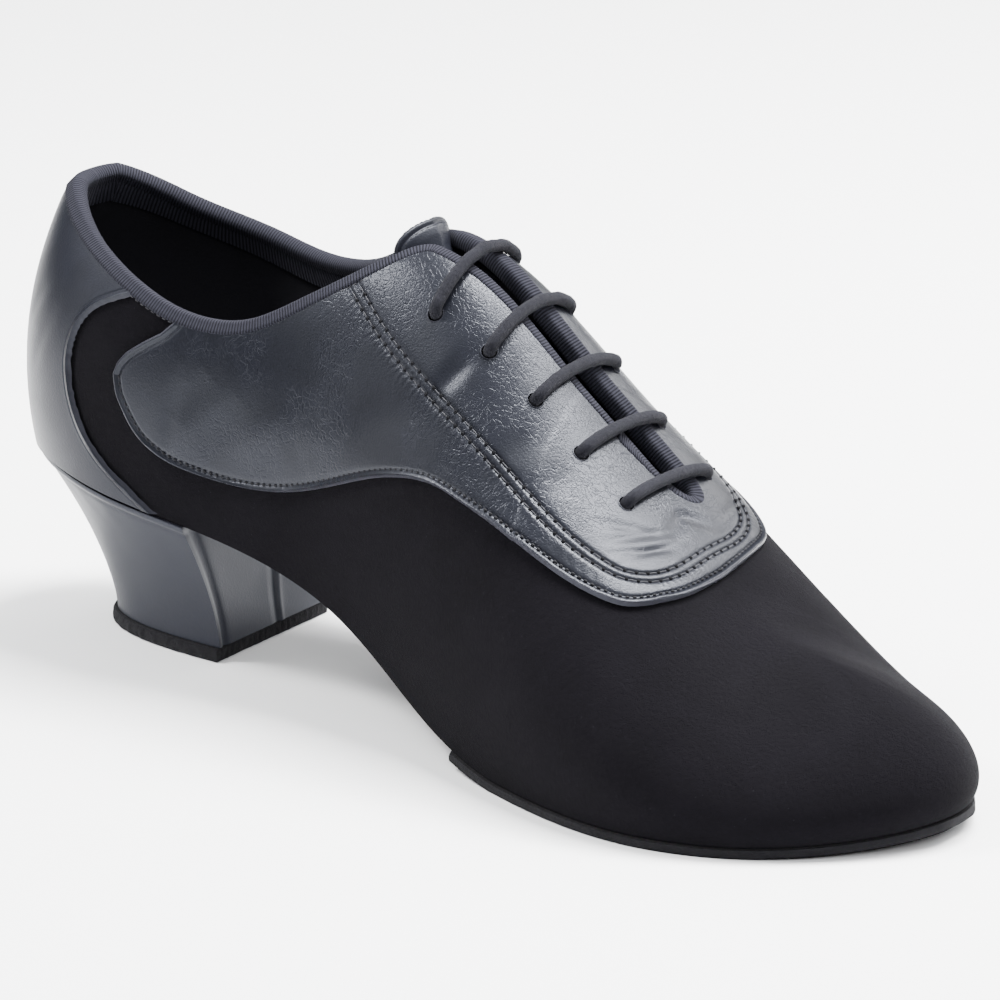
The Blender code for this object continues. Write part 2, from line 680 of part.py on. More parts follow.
def build_tongue(collection, material):
    """Leather tongue: it follows the skin under the facings, leaving room for the lace, and its free top
    stands up behind them."""
    turns = station_turn(column(TONGUE, TONGUE_NAMES, "station"))
    sides = np.linspace(-1, 1, TONGUE_COLUMNS)
    half = column(TONGUE, TONGUE_NAMES, "half")[:, None] * TONGUE_WIDTH / 2
    rise = column(TONGUE, TONGUE_NAMES, "rise")[:, None] * TONGUE_RISE
    drop = column(TONGUE, TONGUE_NAMES, "drop")[:, None]
    grid_turn = np.repeat(turns[:, None], TONGUE_COLUMNS, 1)
    aside = column(TONGUE, TONGUE_NAMES, "aside")[:, None] * TONGUE_RISE
    across = beside_throat(grid_turn, aside + half * sides)
    seat = UPPER_WALL + FIT_GAP * 2
    room = run_depth() + LACE_THICK / 2 + RUN_GAP
    under = off_skin(grid_turn, across, rise * (1 - sides ** 2) ** 2 - seat - (room - seat) * drop)
    tongue = new_object("tongue", mesh_from_grids("tongue", [(under, False)]), collection, material)
    thicken(tongue, TONGUE_THICK)
    smooth(tongue)
    return tongue


def hole_x(number):
    return HOLE_PLACES[number - 1] * LENGTH - TIP_MIDDLE


def row_y(x, side):
    """Row of holes in plan: y at a given x."""
    row = INNER_ROW if side < 0 else OUTER_ROW
    return np.interp(x, (hole_x(1), hole_x(len(HOLE_PLACES))), row)


def hole_place(number, side):
    """Where a punched hole lies: its point on the skin and the outward normal."""
    turn, across = skin_below(hole_x(number), row_y(hole_x(number), side))
    return skin(turn, across), skin_normal(turn, across)


def build_holes(cutters):
    """Cutters of the ten punched holes, in one mesh."""
    work = bmesh.new()
    for number in range(1, len(HOLE_PLACES) + 1):
        for side in (-1, 1):
            point, normal = hole_place(number, side)
            first = np.cross(normal, (1.0, 0.0, 0.0))
            first /= np.linalg.norm(first)
            second = np.cross(normal, first)
            ends = []
            for height in (-CUTTER_UNDER, CUTTER_OVER):
                ring = []
                for k in range(HOLE_SIDES):
                    angle = math.tau * k / HOLE_SIDES
                    spoke = first * math.cos(angle) + second * math.sin(angle)
                    ring.append(work.verts.new(point + normal * height + spoke * HOLE_DIAMETER / 2))
                ends.append(ring)
            work.faces.new(ends[0])
            work.faces.new(ends[1])
            for k in range(HOLE_SIDES):
                after = (k + 1) % HOLE_SIDES
                work.faces.new((ends[0][k], ends[0][after], ends[1][after], ends[1][k]))
    bmesh.ops.recalc_face_normals(work, faces=work.faces[:])
    mesh = bpy.data.meshes.new("hole_cutter")
    work.to_mesh(mesh)
    work.free()
    holes = new_object("hole_cutter", mesh, cutters)
    holes.hide_render = True
    holes.display_type = "WIRE"
    return holes


def lace_point(x, y, height):
    """Point of the lace at a place in plan and a height over the skin."""
    turn, across = skin_below(x, y)
    return off_skin(turn, across, np.asarray(height))


def bar(number, from_side):
    """Corner points of one bar over the throat, from hole to hole."""
    height = COVER_GAP + COVER_THICK + FIT_GAP + LACE_THICK / 2
    x = hole_x(number)
    ends = row_y(x, from_side), row_y(x, -from_side)
    return [lace_point(x, y, height) for y in np.linspace(*ends, BAR_STEPS + 1)]


def hidden(start, end, side, shift=0.0):
    """Corner points of a hidden stretch along a row of holes; it steps aside by a shift on the way."""
    steps = max(2, int(abs(end - start) / RUN_STEP))
    points = []
    for part in np.linspace(0, 1, steps + 1):
        x = start + (end - start) * part
        points.append(lace_point(x, row_y(x, side) + side * shift * math.sin(math.pi * part), -run_depth()))
    return points


def run(first, last, side, shift=0.0):
    """Hidden run along one row of holes, from hole to hole."""
    return hidden(hole_x(first), hole_x(last), side, shift)


def loose_end(number, side, shift):
    """Hidden end, which stops a little behind its hole."""
    points = []
    for part in (0, 0.5, 1):
        x = hole_x(number) - LOOSE_END * part
        points.append(lace_point(x, row_y(x, side) + side * shift * part, -run_depth()))
    return points


def lace_corners():
    """Corner points of the whole lace, from one hidden end to the other."""
    inner_end = (loose_end(2, -1, RUN_SHIFT)[::-1] + bar(2, -1) + run(2, 4, 1, RUN_SHIFT)
                 + bar(4, 1) + run(4, 5, -1))
    outer_end = (bar(5, -1) + run(5, 3, 1, -RUN_SHIFT) + bar(3, 1) + run(3, 1, -1, -RUN_SHIFT)
                 + bar(1, -1) + loose_end(1, 1, 0.0))
    return np.array(inner_end + outer_end)


def rounded(corners, radius, least_turn=25):
    """A polyline whose sharp corners are turned into arcs."""
    points = [corners[0]]
    for k in range(1, len(corners) - 1):
        back = corners[k - 1] - corners[k]
        on = corners[k + 1] - corners[k]
        reach = min(np.linalg.norm(back), np.linalg.norm(on))
        back, on = back / np.linalg.norm(back), on / np.linalg.norm(on)
        turned = math.pi - math.acos(float(np.clip(np.dot(back, on), -1, 1)))
        if turned < math.radians(least_turn):
            points.append(corners[k])
            continue
        trim = min(radius * math.tan(turned / 2), 0.49 * reach)
        bend = trim / math.tan(turned / 2)
        inward = (back + on) / np.linalg.norm(back + on)
        centre = corners[k] + inward * bend / math.cos(turned / 2)
        start = corners[k] + back * trim - centre
        axis_x = start / np.linalg.norm(start)
        finish = corners[k] + on * trim - centre
        axis_y = finish - axis_x * np.dot(finish, axis_x)
        axis_y /= np.linalg.norm(axis_y)
        count = max(2, int(math.degrees(turned) / 36))
        for step in range(count + 1):
            angle = turned * step / count
            points.append(centre + bend * (axis_x * math.cos(angle) + axis_y * math.sin(angle)))
    points.append(corners[-1])
    return np.array(points)


def build_lace(collection, material):
    """The lace as one round tube along its rounded corner points."""
    path = rounded(lace_corners(), LACE_BEND)
    curve = bpy.data.curves.new("lace", "CURVE")
    curve.dimensions = "3D"
    curve.bevel_depth = LACE_THICK / 2
    curve.bevel_resolution = 2
    curve.use_fill_caps = True
    line = curve.splines.new("POLY")
    line.points.add(len(path) - 1)
    for place, point in zip(line.points, path):
        place.co = (*point, 1)
    return new_object("lace", curve, collection, material)


def outline_point(turn, side, outset):
    """Point of the sole edge moved outward in plan; the height is that of the skin at its new place."""
    turn = np.asarray(turn, float)
    small = 0.001
    way = sole_edge(turn + small, side) - sole_edge(turn - small, side)
    out = np.stack([way[..., 1], -way[..., 0]], -1) * -side
    out /= np.linalg.norm(out, axis=-1, keepdims=True)
    plan = sole_edge(turn, side)[..., :2] + out * outset
    height = sole_height(station_turn((plan[..., 0] + TIP_MIDDLE) / LENGTH))
    return np.concatenate([plan, height[..., None]], -1)


def on_profile(plan, height):
    """Lays points in plan on the bottom profile of the foot, then moves them square to it by a height."""
    def level(x):
        return sole_height(station_turn((x + TIP_MIDDLE) / LENGTH))
    small = 0.5 * MM
    slope = (level(plan[..., 0] + small) - level(plan[..., 0] - small)) / (2 * small)
    tilt = np.sqrt(1 + slope ** 2)
    return np.stack([plan[..., 0] - slope / tilt * height, plan[..., 1],
                     level(plan[..., 0]) + height / tilt], -1)


def ladder(turns, outset, columns):
    """Plan of the foot between its two edges; each row goes straight from side to side."""
    inner, outer = outline_point(turns, -1, outset), outline_point(turns, 1, outset)
    parts = np.linspace(0, 1, columns)[None, :, None]
    return inner[:, None] * (1 - parts) + outer[:, None] * parts


def build_insole(collection, material):
    """Sock board on the turned-in margin, inside the upper."""
    turns = np.linspace(0.0, 1.0, INSOLE_STATIONS)
    grid = on_profile(ladder(turns, -INSOLE_INSET, 4), UPPER_WALL + FIT_GAP + INSOLE_THICK)
    insole = new_object("insole", mesh_from_grids("insole", [(grid, False)]), collection, material)
    thicken(insole, INSOLE_THICK)
    smooth(insole)
    return insole


def build_outsole(collection, material):
    """Thin sole under the forepart, with a bowed back end."""
    start = float(station_turn(SOLE_START))
    turns = start + (1 - start) * np.linspace(0, 1, SOLE_STATIONS)
    grid = ladder(turns, SOLE_MARGIN, SOLE_COLUMNS)
    across = np.linspace(-1, 1, SOLE_COLUMNS)
    fade = np.clip(1 - np.linspace(0, 1, SOLE_STATIONS) * 4, 0, 1)
    grid[..., 0] -= SOLE_BOW * LENGTH * (1 - across ** 2)[None, :] * fade[:, None]
    grid = on_profile(grid, -FIT_GAP)
    outsole = new_object("outsole", mesh_from_grids("outsole", [(grid, False)]), collection, material)
    thicken(outsole, SOLE_THICK)
    smooth(outsole)
    return outsole


def heel_outline(width, length, breast, count):
    """Plan of the heel's foot: squarish at the back and straight at the breast. From inside to outside."""
    angles = np.linspace(-math.pi / 2, math.pi / 2, count)
    back = np.maximum(np.cos(angles), 0) ** TIP_SQUARE
    side = np.sign(np.sin(angles)) * np.abs(np.sin(angles)) ** TIP_SQUARE
    return np.stack([breast - length * back, width / 2 * side], -1)


def build_heel_block(collection, material):
    """Covered Cuban heel: rings from the slab up to the seat, drawn in below the seat, with a hollow
    breast."""
    count, levels, breast_steps = HEEL_SIDES, HEEL_LEVELS, HEEL_BREAST_STEPS
    foot = heel_outline(TIP_WIDTH - 2 * TIP_MARGIN, TIP_LENGTH - TIP_MARGIN, BREAST_AHEAD, count)
    seat_front = float(station_turn(HEEL_BREAST))
    walk = np.linspace(-1, 1, count)
    turns = seat_front * np.abs(walk)
    seat = np.where((walk < 0)[:, None], outline_point(turns, -1, HEEL_MARGIN),
                    outline_point(turns, 1, HEEL_MARGIN))
    seat[:, 2] -= FIT_GAP
    seat[count // 2, 1] = 0.0
    low = TIP_THICK + FIT_GAP
    rings = []
    for level in range(levels + 1):
        up = level / levels
        drawn = up ** HEEL_PINCH
        ring = np.empty((count + breast_steps - 1, 3))
        ring[:count, :2] = foot * (1 - drawn) + seat[:, :2] * drawn
        ring[:count, 2] = low + (seat[:, 2] - low) * up
        across = np.linspace(1, -1, breast_steps + 1)[1:-1]
        ends = ring[count - 1], ring[0]
        for k, part in enumerate(across):
            point = ends[0] * (1 + part) / 2 + ends[1] * (1 - part) / 2
            point[0] -= HEEL_HOLLOW * (1 - part ** 2) * 4 * up * (1 - up)
            ring[count + k] = point
        rings.append(ring)
    work = bmesh.new()
    corners = [[work.verts.new(point) for point in ring] for ring in rings]
    total = len(corners[0])
    for lower, upper in zip(corners, corners[1:]):
        for k in range(total):
            after = (k + 1) % total
            work.faces.new((lower[k], lower[after], upper[after], upper[k]))
    middle = count // 2
    for ring in (corners[0], corners[-1]):
        work.faces.new((ring[middle - 1], ring[middle], ring[middle + 1]))
        for k in range(1, middle - 1):
            work.faces.new((ring[middle - k - 1], ring[middle - k], ring[middle + k], ring[middle + k + 1]))
        work.faces.new([ring[0], ring[1]] + ring[count - 2:])
    bmesh.ops.recalc_face_normals(work, faces=work.faces[:])
    mesh = bpy.data.meshes.new("heel_block")
    work.to_mesh(mesh)
    work.free()
    block = new_object("heel_block", mesh, collection, material)
    smooth(block)
    return block


def build_heel_top_piece(collection, material):
    """Slab under the heel, resting on the floor."""
    outline = heel_outline(TIP_WIDTH, TIP_LENGTH, BREAST_AHEAD, TIP_SIDES)
    work = bmesh.new()
    face = work.faces.new([work.verts.new((x, y, 0.0)) for x, y in outline])
    grown = bmesh.ops.extrude_face_region(work, geom=[face])
    risen = [item for item in grown["geom"] if isinstance(item, bmesh.types.BMVert)]
    bmesh.ops.translate(work, verts=risen, vec=(0, 0, TIP_THICK))
    bmesh.ops.recalc_face_normals(work, faces=work.faces[:])
    mesh = bpy.data.meshes.new("heel_top_piece")
    work.to_mesh(mesh)
    work.free()
    slab = new_object("heel_top_piece", mesh, collection, material)
    smooth(slab)
    return slab


def main():
    for thing in list(bpy.data.objects):
        bpy.data.objects.remove(thing)
    shoe = bpy.data.collections.new("ballroom_dance_shoe")
    cutters = bpy.data.collections.new("cutters")
    bpy.context.scene.collection.children.link(shoe)
    bpy.context.scene.collection.children.link(cutters)

    suede = new_material("suede", (0.022, 0.020, 0.026), 0.95)
    leather = new_material("leather", (0.075, 0.082, 0.11), 0.35)
    ribbon = new_material("ribbon", (0.03, 0.03, 0.038), 0.85)
    cotton = new_material("lace_cotton", (0.04, 0.04, 0.048), 0.9)
    lining = new_material("lining", (0.02, 0.02, 0.024), 0.8)
    heel_cover = new_material("heel_cover", (0.09, 0.095, 0.12), 0.4)
    buffed_sole = new_material("buffed_sole", (0.05, 0.048, 0.05), 0.95)

    holes = build_holes(cutters)
    build_upper(shoe, suede, holes)
    build_quarter_panel(shoe, leather, holes)
    build_counter_panel(shoe, leather)
    build_binding(shoe, ribbon)
    build_tongue(shoe, leather)
    build_lace(shoe, cotton)
    build_insole(shoe, lining)
    build_outsole(shoe, buffed_sole)
    build_heel_block(shoe, heel_cover)
    build_heel_top_piece(shoe, buffed_sole)


main()
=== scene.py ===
# %% [markdown]
# # A ballroom dance shoe, dressed for the camera
# The real shoe is a laced practice shoe for dancing: a suede shell under a leather saddle and a leather back,
# a ribbon round the top edge, a covered Cuban heel and a thin suede sole. Each solid is then replaced by a
# finer piece. Such pieces could be modelled by hand, but here they are worked out from the same last as the
# solids, so every seam and edge lies where the solid puts it.

# %% Load the frame
import math

import bpy
import bmesh
import numpy as np
from mathutils import Matrix, Vector
from mathutils.kdtree import KDTree


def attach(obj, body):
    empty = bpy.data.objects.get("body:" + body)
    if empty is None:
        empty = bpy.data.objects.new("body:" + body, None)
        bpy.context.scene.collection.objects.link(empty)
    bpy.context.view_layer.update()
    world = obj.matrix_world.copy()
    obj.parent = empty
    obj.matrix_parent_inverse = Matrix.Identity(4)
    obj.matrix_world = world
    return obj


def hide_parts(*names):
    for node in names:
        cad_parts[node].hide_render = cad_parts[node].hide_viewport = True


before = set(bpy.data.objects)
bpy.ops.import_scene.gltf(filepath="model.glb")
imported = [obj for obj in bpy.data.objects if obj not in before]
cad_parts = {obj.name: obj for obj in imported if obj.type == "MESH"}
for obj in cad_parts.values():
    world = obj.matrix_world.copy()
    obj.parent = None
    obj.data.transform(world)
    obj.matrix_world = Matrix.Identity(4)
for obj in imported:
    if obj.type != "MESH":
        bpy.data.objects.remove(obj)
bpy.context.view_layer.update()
MM = 0.001
print("solids:", ", ".join(sorted(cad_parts)))

# %% [markdown]
# ## The last
# A shoemaker builds a shoe round a last, a block in the form of the foot. Here the last is a surface in
# numbers. A subdivision cage or sculpting could give the same form, but with a formula each piece can ask
# where the skin lies and which way it faces, so that form was chosen. `turn` goes from heel (0) to toe (1),
# and `across` from the inner sole edge (0) over the ridge of the foot (1) to the outer sole edge (2).

# %% Sizes of the last
LENGTH = 284 * MM            # heel curve to toe tip, measured flat
BALL_WIDTH = 99 * MM         # across the widest part of the sole
HEEL_LIFT = 44 * MM          # seat of the heel above the forepart
TOE_SPRING = 3.5 * MM        # tip of the toe above the forepart
INSTEP_HEIGHT = 99 * MM      # crown of the instep above the sole, square to the floor
SIDE_BULGE = 10 * MM         # how far the fullest side leans out over the sole's edge
RIDGE_START = 0.13           # the ridge of the instep starts and ends at these shares of the length
RIDGE_END = 0.86

FIT_GAP = 0.3 * MM           # between two pieces that touch
SOLE_THICK = 2.3 * MM
FLOOR_STEP = SOLE_THICK + FIT_GAP
HEEL_BREAST = 0.231          # front of the heel at the seat, as a share of the length
HEEL_RAKE = 1.5 * MM         # the breast leans this far forward on its way down
TIP_LENGTH = 47.5 * MM       # length of the slab under the heel
BREAST_AHEAD = TIP_LENGTH / 2     # breast of the heel's foot, ahead of the origin
TIP_MIDDLE = HEEL_BREAST * LENGTH + HEEL_RAKE - BREAST_AHEAD
print("length and ball width, mm:", round(LENGTH / MM), round(BALL_WIDTH / MM))

# %% Sections of the last
# Sections of the last, from heel to toe. station: share of LENGTH. inner, outer: half widths of the sole
# edge, and swing: its middle line, as shares of BALL_WIDTH. heel: share of HEEL_LIFT. toe: share of
# TOE_SPRING. crown: ridge above the sole edge, share of INSTEP_HEIGHT. aside: ridge beside the middle line,
# share of BALL_WIDTH. lean_in, lean_out: shares of SIDE_BULGE. wall: how upright the side is. flat: how
# flat the top is.
SECTION_NAMES = ("station", "inner", "outer", "swing", "heel", "toe", "crown", "aside",
                 "lean_in", "lean_out", "wall", "flat")
SECTIONS = (
    (0.00, 0.000, 0.000, 0.000, 0.985, 0.0, 0.810, 0.000, 0.70, 0.70, 0.62, 0.50),
    (0.06, 0.268, 0.273, 0.000, 1.010, 0.0, 0.700, 0.000, 1.00, 1.00, 0.74, 0.57),
    (0.15, 0.337, 0.352, 0.000, 0.925, 0.0, 0.705, 0.000, 0.92, 0.96, 0.80, 0.60),
    (0.27, 0.319, 0.338, 0.000, 0.795, 0.0, 0.775, 0.000, 0.70, 0.80, 0.70, 0.56),
    (0.40, 0.313, 0.328, 0.000, 0.510, 0.0, 0.932, 0.028, 0.63, 0.64, 0.54, 0.64),
    (0.53, 0.420, 0.394, -0.005, 0.115, 0.0, 0.990, 0.040, 0.66, 0.66, 0.46, 0.62),
    (0.66, 0.534, 0.465, -0.025, -0.010, 0.0, 0.770, 0.034, 0.66, 0.70, 0.52, 0.64),
    (0.78, 0.556, 0.444, -0.054, 0.000, -0.02, 0.555, 0.015, 0.63, 0.68, 0.48, 0.57),
    (0.89, 0.424, 0.345, -0.084, 0.000, 0.06, 0.380, 0.000, 0.68, 0.66, 0.46, 0.50),
    (0.96, 0.232, 0.200, -0.103, 0.000, 0.42, 0.320, 0.000, 0.84, 0.84, 0.47, 0.52),
    (1.00, 0.000, 0.000, -0.112, 0.000, 1.00, 0.290, 0.000, 0.92, 0.92, 0.47, 0.52),
)
print("sections of the last:", len(SECTIONS))

# %% Curves of the last
def column(rows, names, name):
    """One named column of a table."""
    return np.array([row[names.index(name)] for row in rows], float)


def station_turn(share):
    """Turn (0 heel, 1 toe) at a share of the length: the outline is walked like a half circle."""
    return np.arccos(np.clip(1 - 2 * np.asarray(share, float), -1, 1)) / math.pi


def station_share(turn):
    """Share of the length at a turn: the way back from station_turn."""
    return (1 - np.cos(math.pi * np.asarray(turn, float))) / 2


def spline(knots, values, at):
    """Natural cubic curve through the knots."""
    knots = np.asarray(knots, float)
    values = np.asarray(values, float)
    count = len(knots)
    step = np.diff(knots)
    matrix = np.eye(count)
    right = np.zeros(count)
    for k in range(1, count - 1):
        matrix[k, k - 1:k + 2] = step[k - 1], 2 * (step[k - 1] + step[k]), step[k]
        right[k] = 6 * ((values[k + 1] - values[k]) / step[k] - (values[k] - values[k - 1]) / step[k - 1])
    bend = np.linalg.solve(matrix, right)
    at = np.asarray(at, float)
    k = np.clip(np.searchsorted(knots, at) - 1, 0, count - 2)
    width = step[k]
    before = (knots[k + 1] - at) / width
    after = (at - knots[k]) / width
    curve = ((before ** 3 - before) * bend[k] + (after ** 3 - after) * bend[k + 1]) * width ** 2 / 6
    return before * values[k] + after * values[k + 1] + curve


def section(name, turn, mirrored=1):
    """A column of SECTIONS at any turn. It goes on past heel and toe: mirrored=-1 flips its sign there."""
    knots = station_turn(column(SECTIONS, SECTION_NAMES, "station"))
    values = column(SECTIONS, SECTION_NAMES, name)
    knots = np.concatenate([-knots[:0:-1], knots, 2 - knots[-2::-1]])
    values = np.concatenate([mirrored * values[:0:-1], values, mirrored * values[-2::-1]])
    return spline(knots, values, turn)


def sole_height(turn):
    """Height of the sole edge over the floor; the forepart has a level stretch."""
    heel = np.maximum(section("heel", turn), 0) * HEEL_LIFT
    toe = np.maximum(section("toe", turn), 0) * TOE_SPRING
    return FLOOR_STEP + heel + toe


def sole_edge(turn, side):
    """Point of the sole edge; side is -1 inside, +1 outside."""
    turn = np.asarray(turn, float)
    side = np.broadcast_to(side, turn.shape)
    half = np.where(side < 0, section("inner", turn, -1), section("outer", turn, -1)) * BALL_WIDTH
    middle = section("swing", turn) * BALL_WIDTH
    return np.stack([LENGTH * station_share(turn) - TIP_MIDDLE, middle + side * half, sole_height(turn)], -1)


def ridge_share(turn):
    return RIDGE_START + (RIDGE_END - RIDGE_START) * station_share(turn)


def middle_line(turn):
    """Middle line of the foot in plan, below the ridge."""
    return section("swing", station_turn(ridge_share(turn))) * BALL_WIDTH


def ridge(turn):
    """Point of the ridge along the top of the foot."""
    aside = middle_line(turn) + section("aside", turn) * BALL_WIDTH
    height = sole_height(turn) + section("crown", turn) * INSTEP_HEIGHT
    return np.stack([LENGTH * ridge_share(turn) - TIP_MIDDLE, aside, height], -1)


TINY_TURN = 0.001            # half the step that slopes of the ridge and the sole edge are taken over
STEADY_SLOPE = 0.06          # nearer to heel and toe than this turn, the ridge keeps its slope
SLOPE_STEP = 0.002           # half the step that slopes of the skin are taken over
print("heel seat over the floor, mm:", round(float(sole_height(0.0)) * 1000, 1))

# %% The skin
def skin(turn, across):
    """Point of the last's skin. across runs from the inner sole edge (0) over the ridge (1) to the outer
    sole edge (2). Each side is one cubic curve from the edge to the ridge."""
    turn, across = np.broadcast_arrays(np.asarray(turn, float), np.asarray(across, float))
    inside = across <= 1
    side = np.where(inside, -1.0, 1.0)
    up = np.where(inside, across, 2 - across)[..., None]
    foot = sole_edge(turn, side)
    top = ridge(turn)
    flat_way = (foot - top) * (1, 1, 0)
    reach = np.linalg.norm(flat_way, axis=-1, keepdims=True)
    out = flat_way / np.maximum(reach, 1e-9)
    lean = np.where(inside, section("lean_in", turn), section("lean_out", turn))[..., None] * SIDE_BULGE
    rise = (top - foot)[..., 2:]
    steady = np.clip(turn, STEADY_SLOPE, 1 - STEADY_SLOPE)
    ahead, behind = ridge(steady + TINY_TURN), ridge(steady - TINY_TURN)
    slope = ((ahead - behind)[..., 2] / (ahead - behind)[..., 0])[..., None]
    upward = np.array((0.0, 0.0, 1.0))
    wall = section("wall", turn)[..., None]
    flat = section("flat", turn)[..., None] * reach
    second = foot + out * lean + upward * rise * wall
    third = top + out * flat + upward * slope * out[..., :1] * flat
    down = 1 - up
    return down ** 3 * foot + 3 * down ** 2 * up * second + 3 * down * up ** 2 * third + up ** 3 * top


def skin_slopes(turn, across):
    """How the skin moves with turn and with across."""
    turn, across = np.broadcast_arrays(np.asarray(turn, float), np.asarray(across, float))
    small = SLOPE_STEP
    along = (skin(turn + small, across) - skin(turn - small, across)) / (2 * small)
    steady = np.where(across <= 1, np.minimum(across, 1 - small), np.maximum(across, 1 + small))
    rising = (skin(turn, steady + small) - skin(turn, steady - small)) / (2 * small)
    return along, rising


def skin_normal(turn, across):
    """Outward normal of the skin."""
    along, rising = skin_slopes(turn, across)
    normal = np.cross(along, rising)
    return normal / np.maximum(np.linalg.norm(normal, axis=-1, keepdims=True), 1e-12)


print("fullest point of the inner side, mm:", np.round(skin(0.5, 0.3) * 1000, 1))

# %% Points over and under the skin
def off_skin(turn, across, height):
    """Point at a height over the skin (below it where the height is negative)."""
    height = np.asarray(height, float)
    return skin(turn, across) + skin_normal(turn, across) * height[..., None]


def skin_below(x, y):
    """Turn and across of the skin's point at a place in plan, near the top of the foot."""
    x, y = np.broadcast_arrays(np.asarray(x, float), np.asarray(y, float))
    share = (x + TIP_MIDDLE) / LENGTH
    turn = station_turn((share - RIDGE_START) / (RIDGE_END - RIDGE_START))
    across = np.ones(turn.shape)
    for _ in range(12):
        miss = np.stack([x, y], -1) - skin(turn, across)[..., :2]
        along, rising = skin_slopes(turn, across)
        area = along[..., 0] * rising[..., 1] - along[..., 1] * rising[..., 0]
        turn = turn + (miss[..., 0] * rising[..., 1] - miss[..., 1] * rising[..., 0]) / area
        across = across + (along[..., 0] * miss[..., 1] - along[..., 1] * miss[..., 0]) / area
    return turn, across

print("ridge of the instep, mm:", np.round(skin(0.5, 1.0) * 1000, 1))

# %% [markdown]
# ## The throat and the top edge
# The top edge of the real upper runs round the ankle, up to the instep and down both sides of the lacing,
# where it closes in a round end: the throat. It could be drawn as one curve in space. It is kept as two
# tables instead, one for the collar and one for the throat, and the lower of the two is the edge, with a
# rounded corner where they meet. So the facings can be moved without touching the collar.

# %% Tables of the collar and the throat
THROAT_GAP = 8 * MM          # between the two facings, at the middle bar
THROAT_END = 0.742           # share of the length where the throat closes
THROAT_ROUND = 0.03          # share of the length over which its end is rounded
FACING_START = 0.37          # share of the length where the collar can meet the throat
SADDLE_FRONT = 0.842         # front end of the leather saddle, as a share of the length
TURN_END = float(station_turn(THROAT_END))

# Top edge behind the lacing. station: share of LENGTH. inner, outer: share of the way up each side.
COLLAR_NAMES = ("station", "inner", "outer")
COLLAR = (
    (0.00, 0.535, 0.535),
    (0.06, 0.566, 0.556),
    (0.11, 0.538, 0.522),
    (0.16, 0.490, 0.487),
    (0.21, 0.455, 0.470),
    (0.25, 0.458, 0.492),
    (0.29, 0.502, 0.548),
    (0.33, 0.600, 0.645),
    (0.37, 0.712, 0.755),
    (0.41, 0.855, 0.880),
    (0.45, 1.040, 1.050),
    (0.50, 1.320, 1.320),
)

# Throat. middle: its middle beside the middle line of the foot, as a share of BALL_WIDTH. gap: share of
# THROAT_GAP.
THROAT_NAMES = ("station", "middle", "gap")
THROAT = (
    (0.00, 0.030, 1.70),
    (0.42, 0.030, 1.55),
    (0.48, 0.024, 1.15),
    (0.55, 0.024, 0.95),
    (0.61, 0.044, 1.00),
    (0.67, 0.074, 1.05),
    (0.74, 0.090, 0.95),
    (0.80, 0.088, 0.85),
    (1.00, 0.000, 0.80),
)
print("throat closes, mm ahead of the heel:", round(THROAT_END * LENGTH * 1000, 1))

# %% The throat and the top edge
def throat_column(name, turn):
    """A column of THROAT at any turn."""
    stations = station_turn(column(THROAT, THROAT_NAMES, "station"))
    return spline(stations, column(THROAT, THROAT_NAMES, name), turn)


def beside_throat(turn, distance):
    """How far across the skin a point lies that is this far beside the middle of the throat."""
    turn, distance = np.broadcast_arrays(np.asarray(turn, float), np.asarray(distance, float))
    wanted = middle_line(turn) + throat_column("middle", turn) * BALL_WIDTH + distance
    low, high = np.full(turn.shape, 0.25), np.full(turn.shape, 1.75)
    for _ in range(26):
        middle = (low + high) / 2
        right = skin(turn, middle)[..., 1] > wanted
        high = np.where(right, middle, high)
        low = np.where(right, low, middle)
    return (low + high) / 2


def throat_line(turn):
    """How far across the skin the middle of the throat lies; ahead of it, it comes back to the ridge."""
    turn = np.asarray(turn, float)
    front = float(station_turn(SADDLE_FRONT))
    ahead = np.clip((front - turn) / (front - TURN_END), 0, 1)
    on_throat = beside_throat(np.minimum(turn, TURN_END), 0.0)
    return 1 + (on_throat - 1) * ahead * ahead * (3 - 2 * ahead)


def half_gap(turn):
    """Half the opening between the facings, closing in a round end."""
    late = np.clip((station_share(turn) - THROAT_END + THROAT_ROUND) / THROAT_ROUND, 0, 1)
    return throat_column("gap", turn) * THROAT_GAP / 2 * np.sqrt(1 - late ** 2)


def soft_least(first, second, blend=0.05):
    """The smaller of two values, with a rounded change from one to the other."""
    near = np.maximum(blend - np.abs(first - second), 0) / blend
    return np.minimum(first, second) - near ** 2 * blend / 4


def top_edge(turn, side):
    """How far across the skin the top edge of the upper lies, on one side."""
    name = "inner" if side < 0 else "outer"
    stations = station_turn(column(COLLAR, COLLAR_NAMES, "station"))
    values = column(COLLAR, COLLAR_NAMES, name)
    knots = np.concatenate([-stations[:0:-1], stations])
    collar = spline(knots, np.concatenate([values[:0:-1], values]), np.minimum(turn, stations[-1]))
    beyond = turn >= TURN_END
    throat = np.where(beyond, throat_line(turn), beside_throat(turn, side * half_gap(turn)))
    throat = np.where(station_share(turn) < FACING_START, 1, throat)
    if side < 0:
        return soft_least(collar, throat)
    return 2 - soft_least(collar, 2 - throat)


def even_turns(first, last, count):
    """Turns between two ends, closer together near both."""
    return first + (last - first) * station_share(np.linspace(0, 1, count))


print("collar over the floor behind the heel, mm:", round(float(skin(0.0, top_edge(0.0, -1))[2]) * 1000, 1))

# %% [markdown]
# ## The camera
# The photograph shows the inner side of a left shoe from in front of it and a little above. A camera can be
# set by eye, with its angles typed in, but here its angles and its long lens were solved from points whose
# place on the last is known, because the seams only line up if the view is right: 37 degrees round from the
# side, 19 degrees up, from 1.44 m, and a little off level.

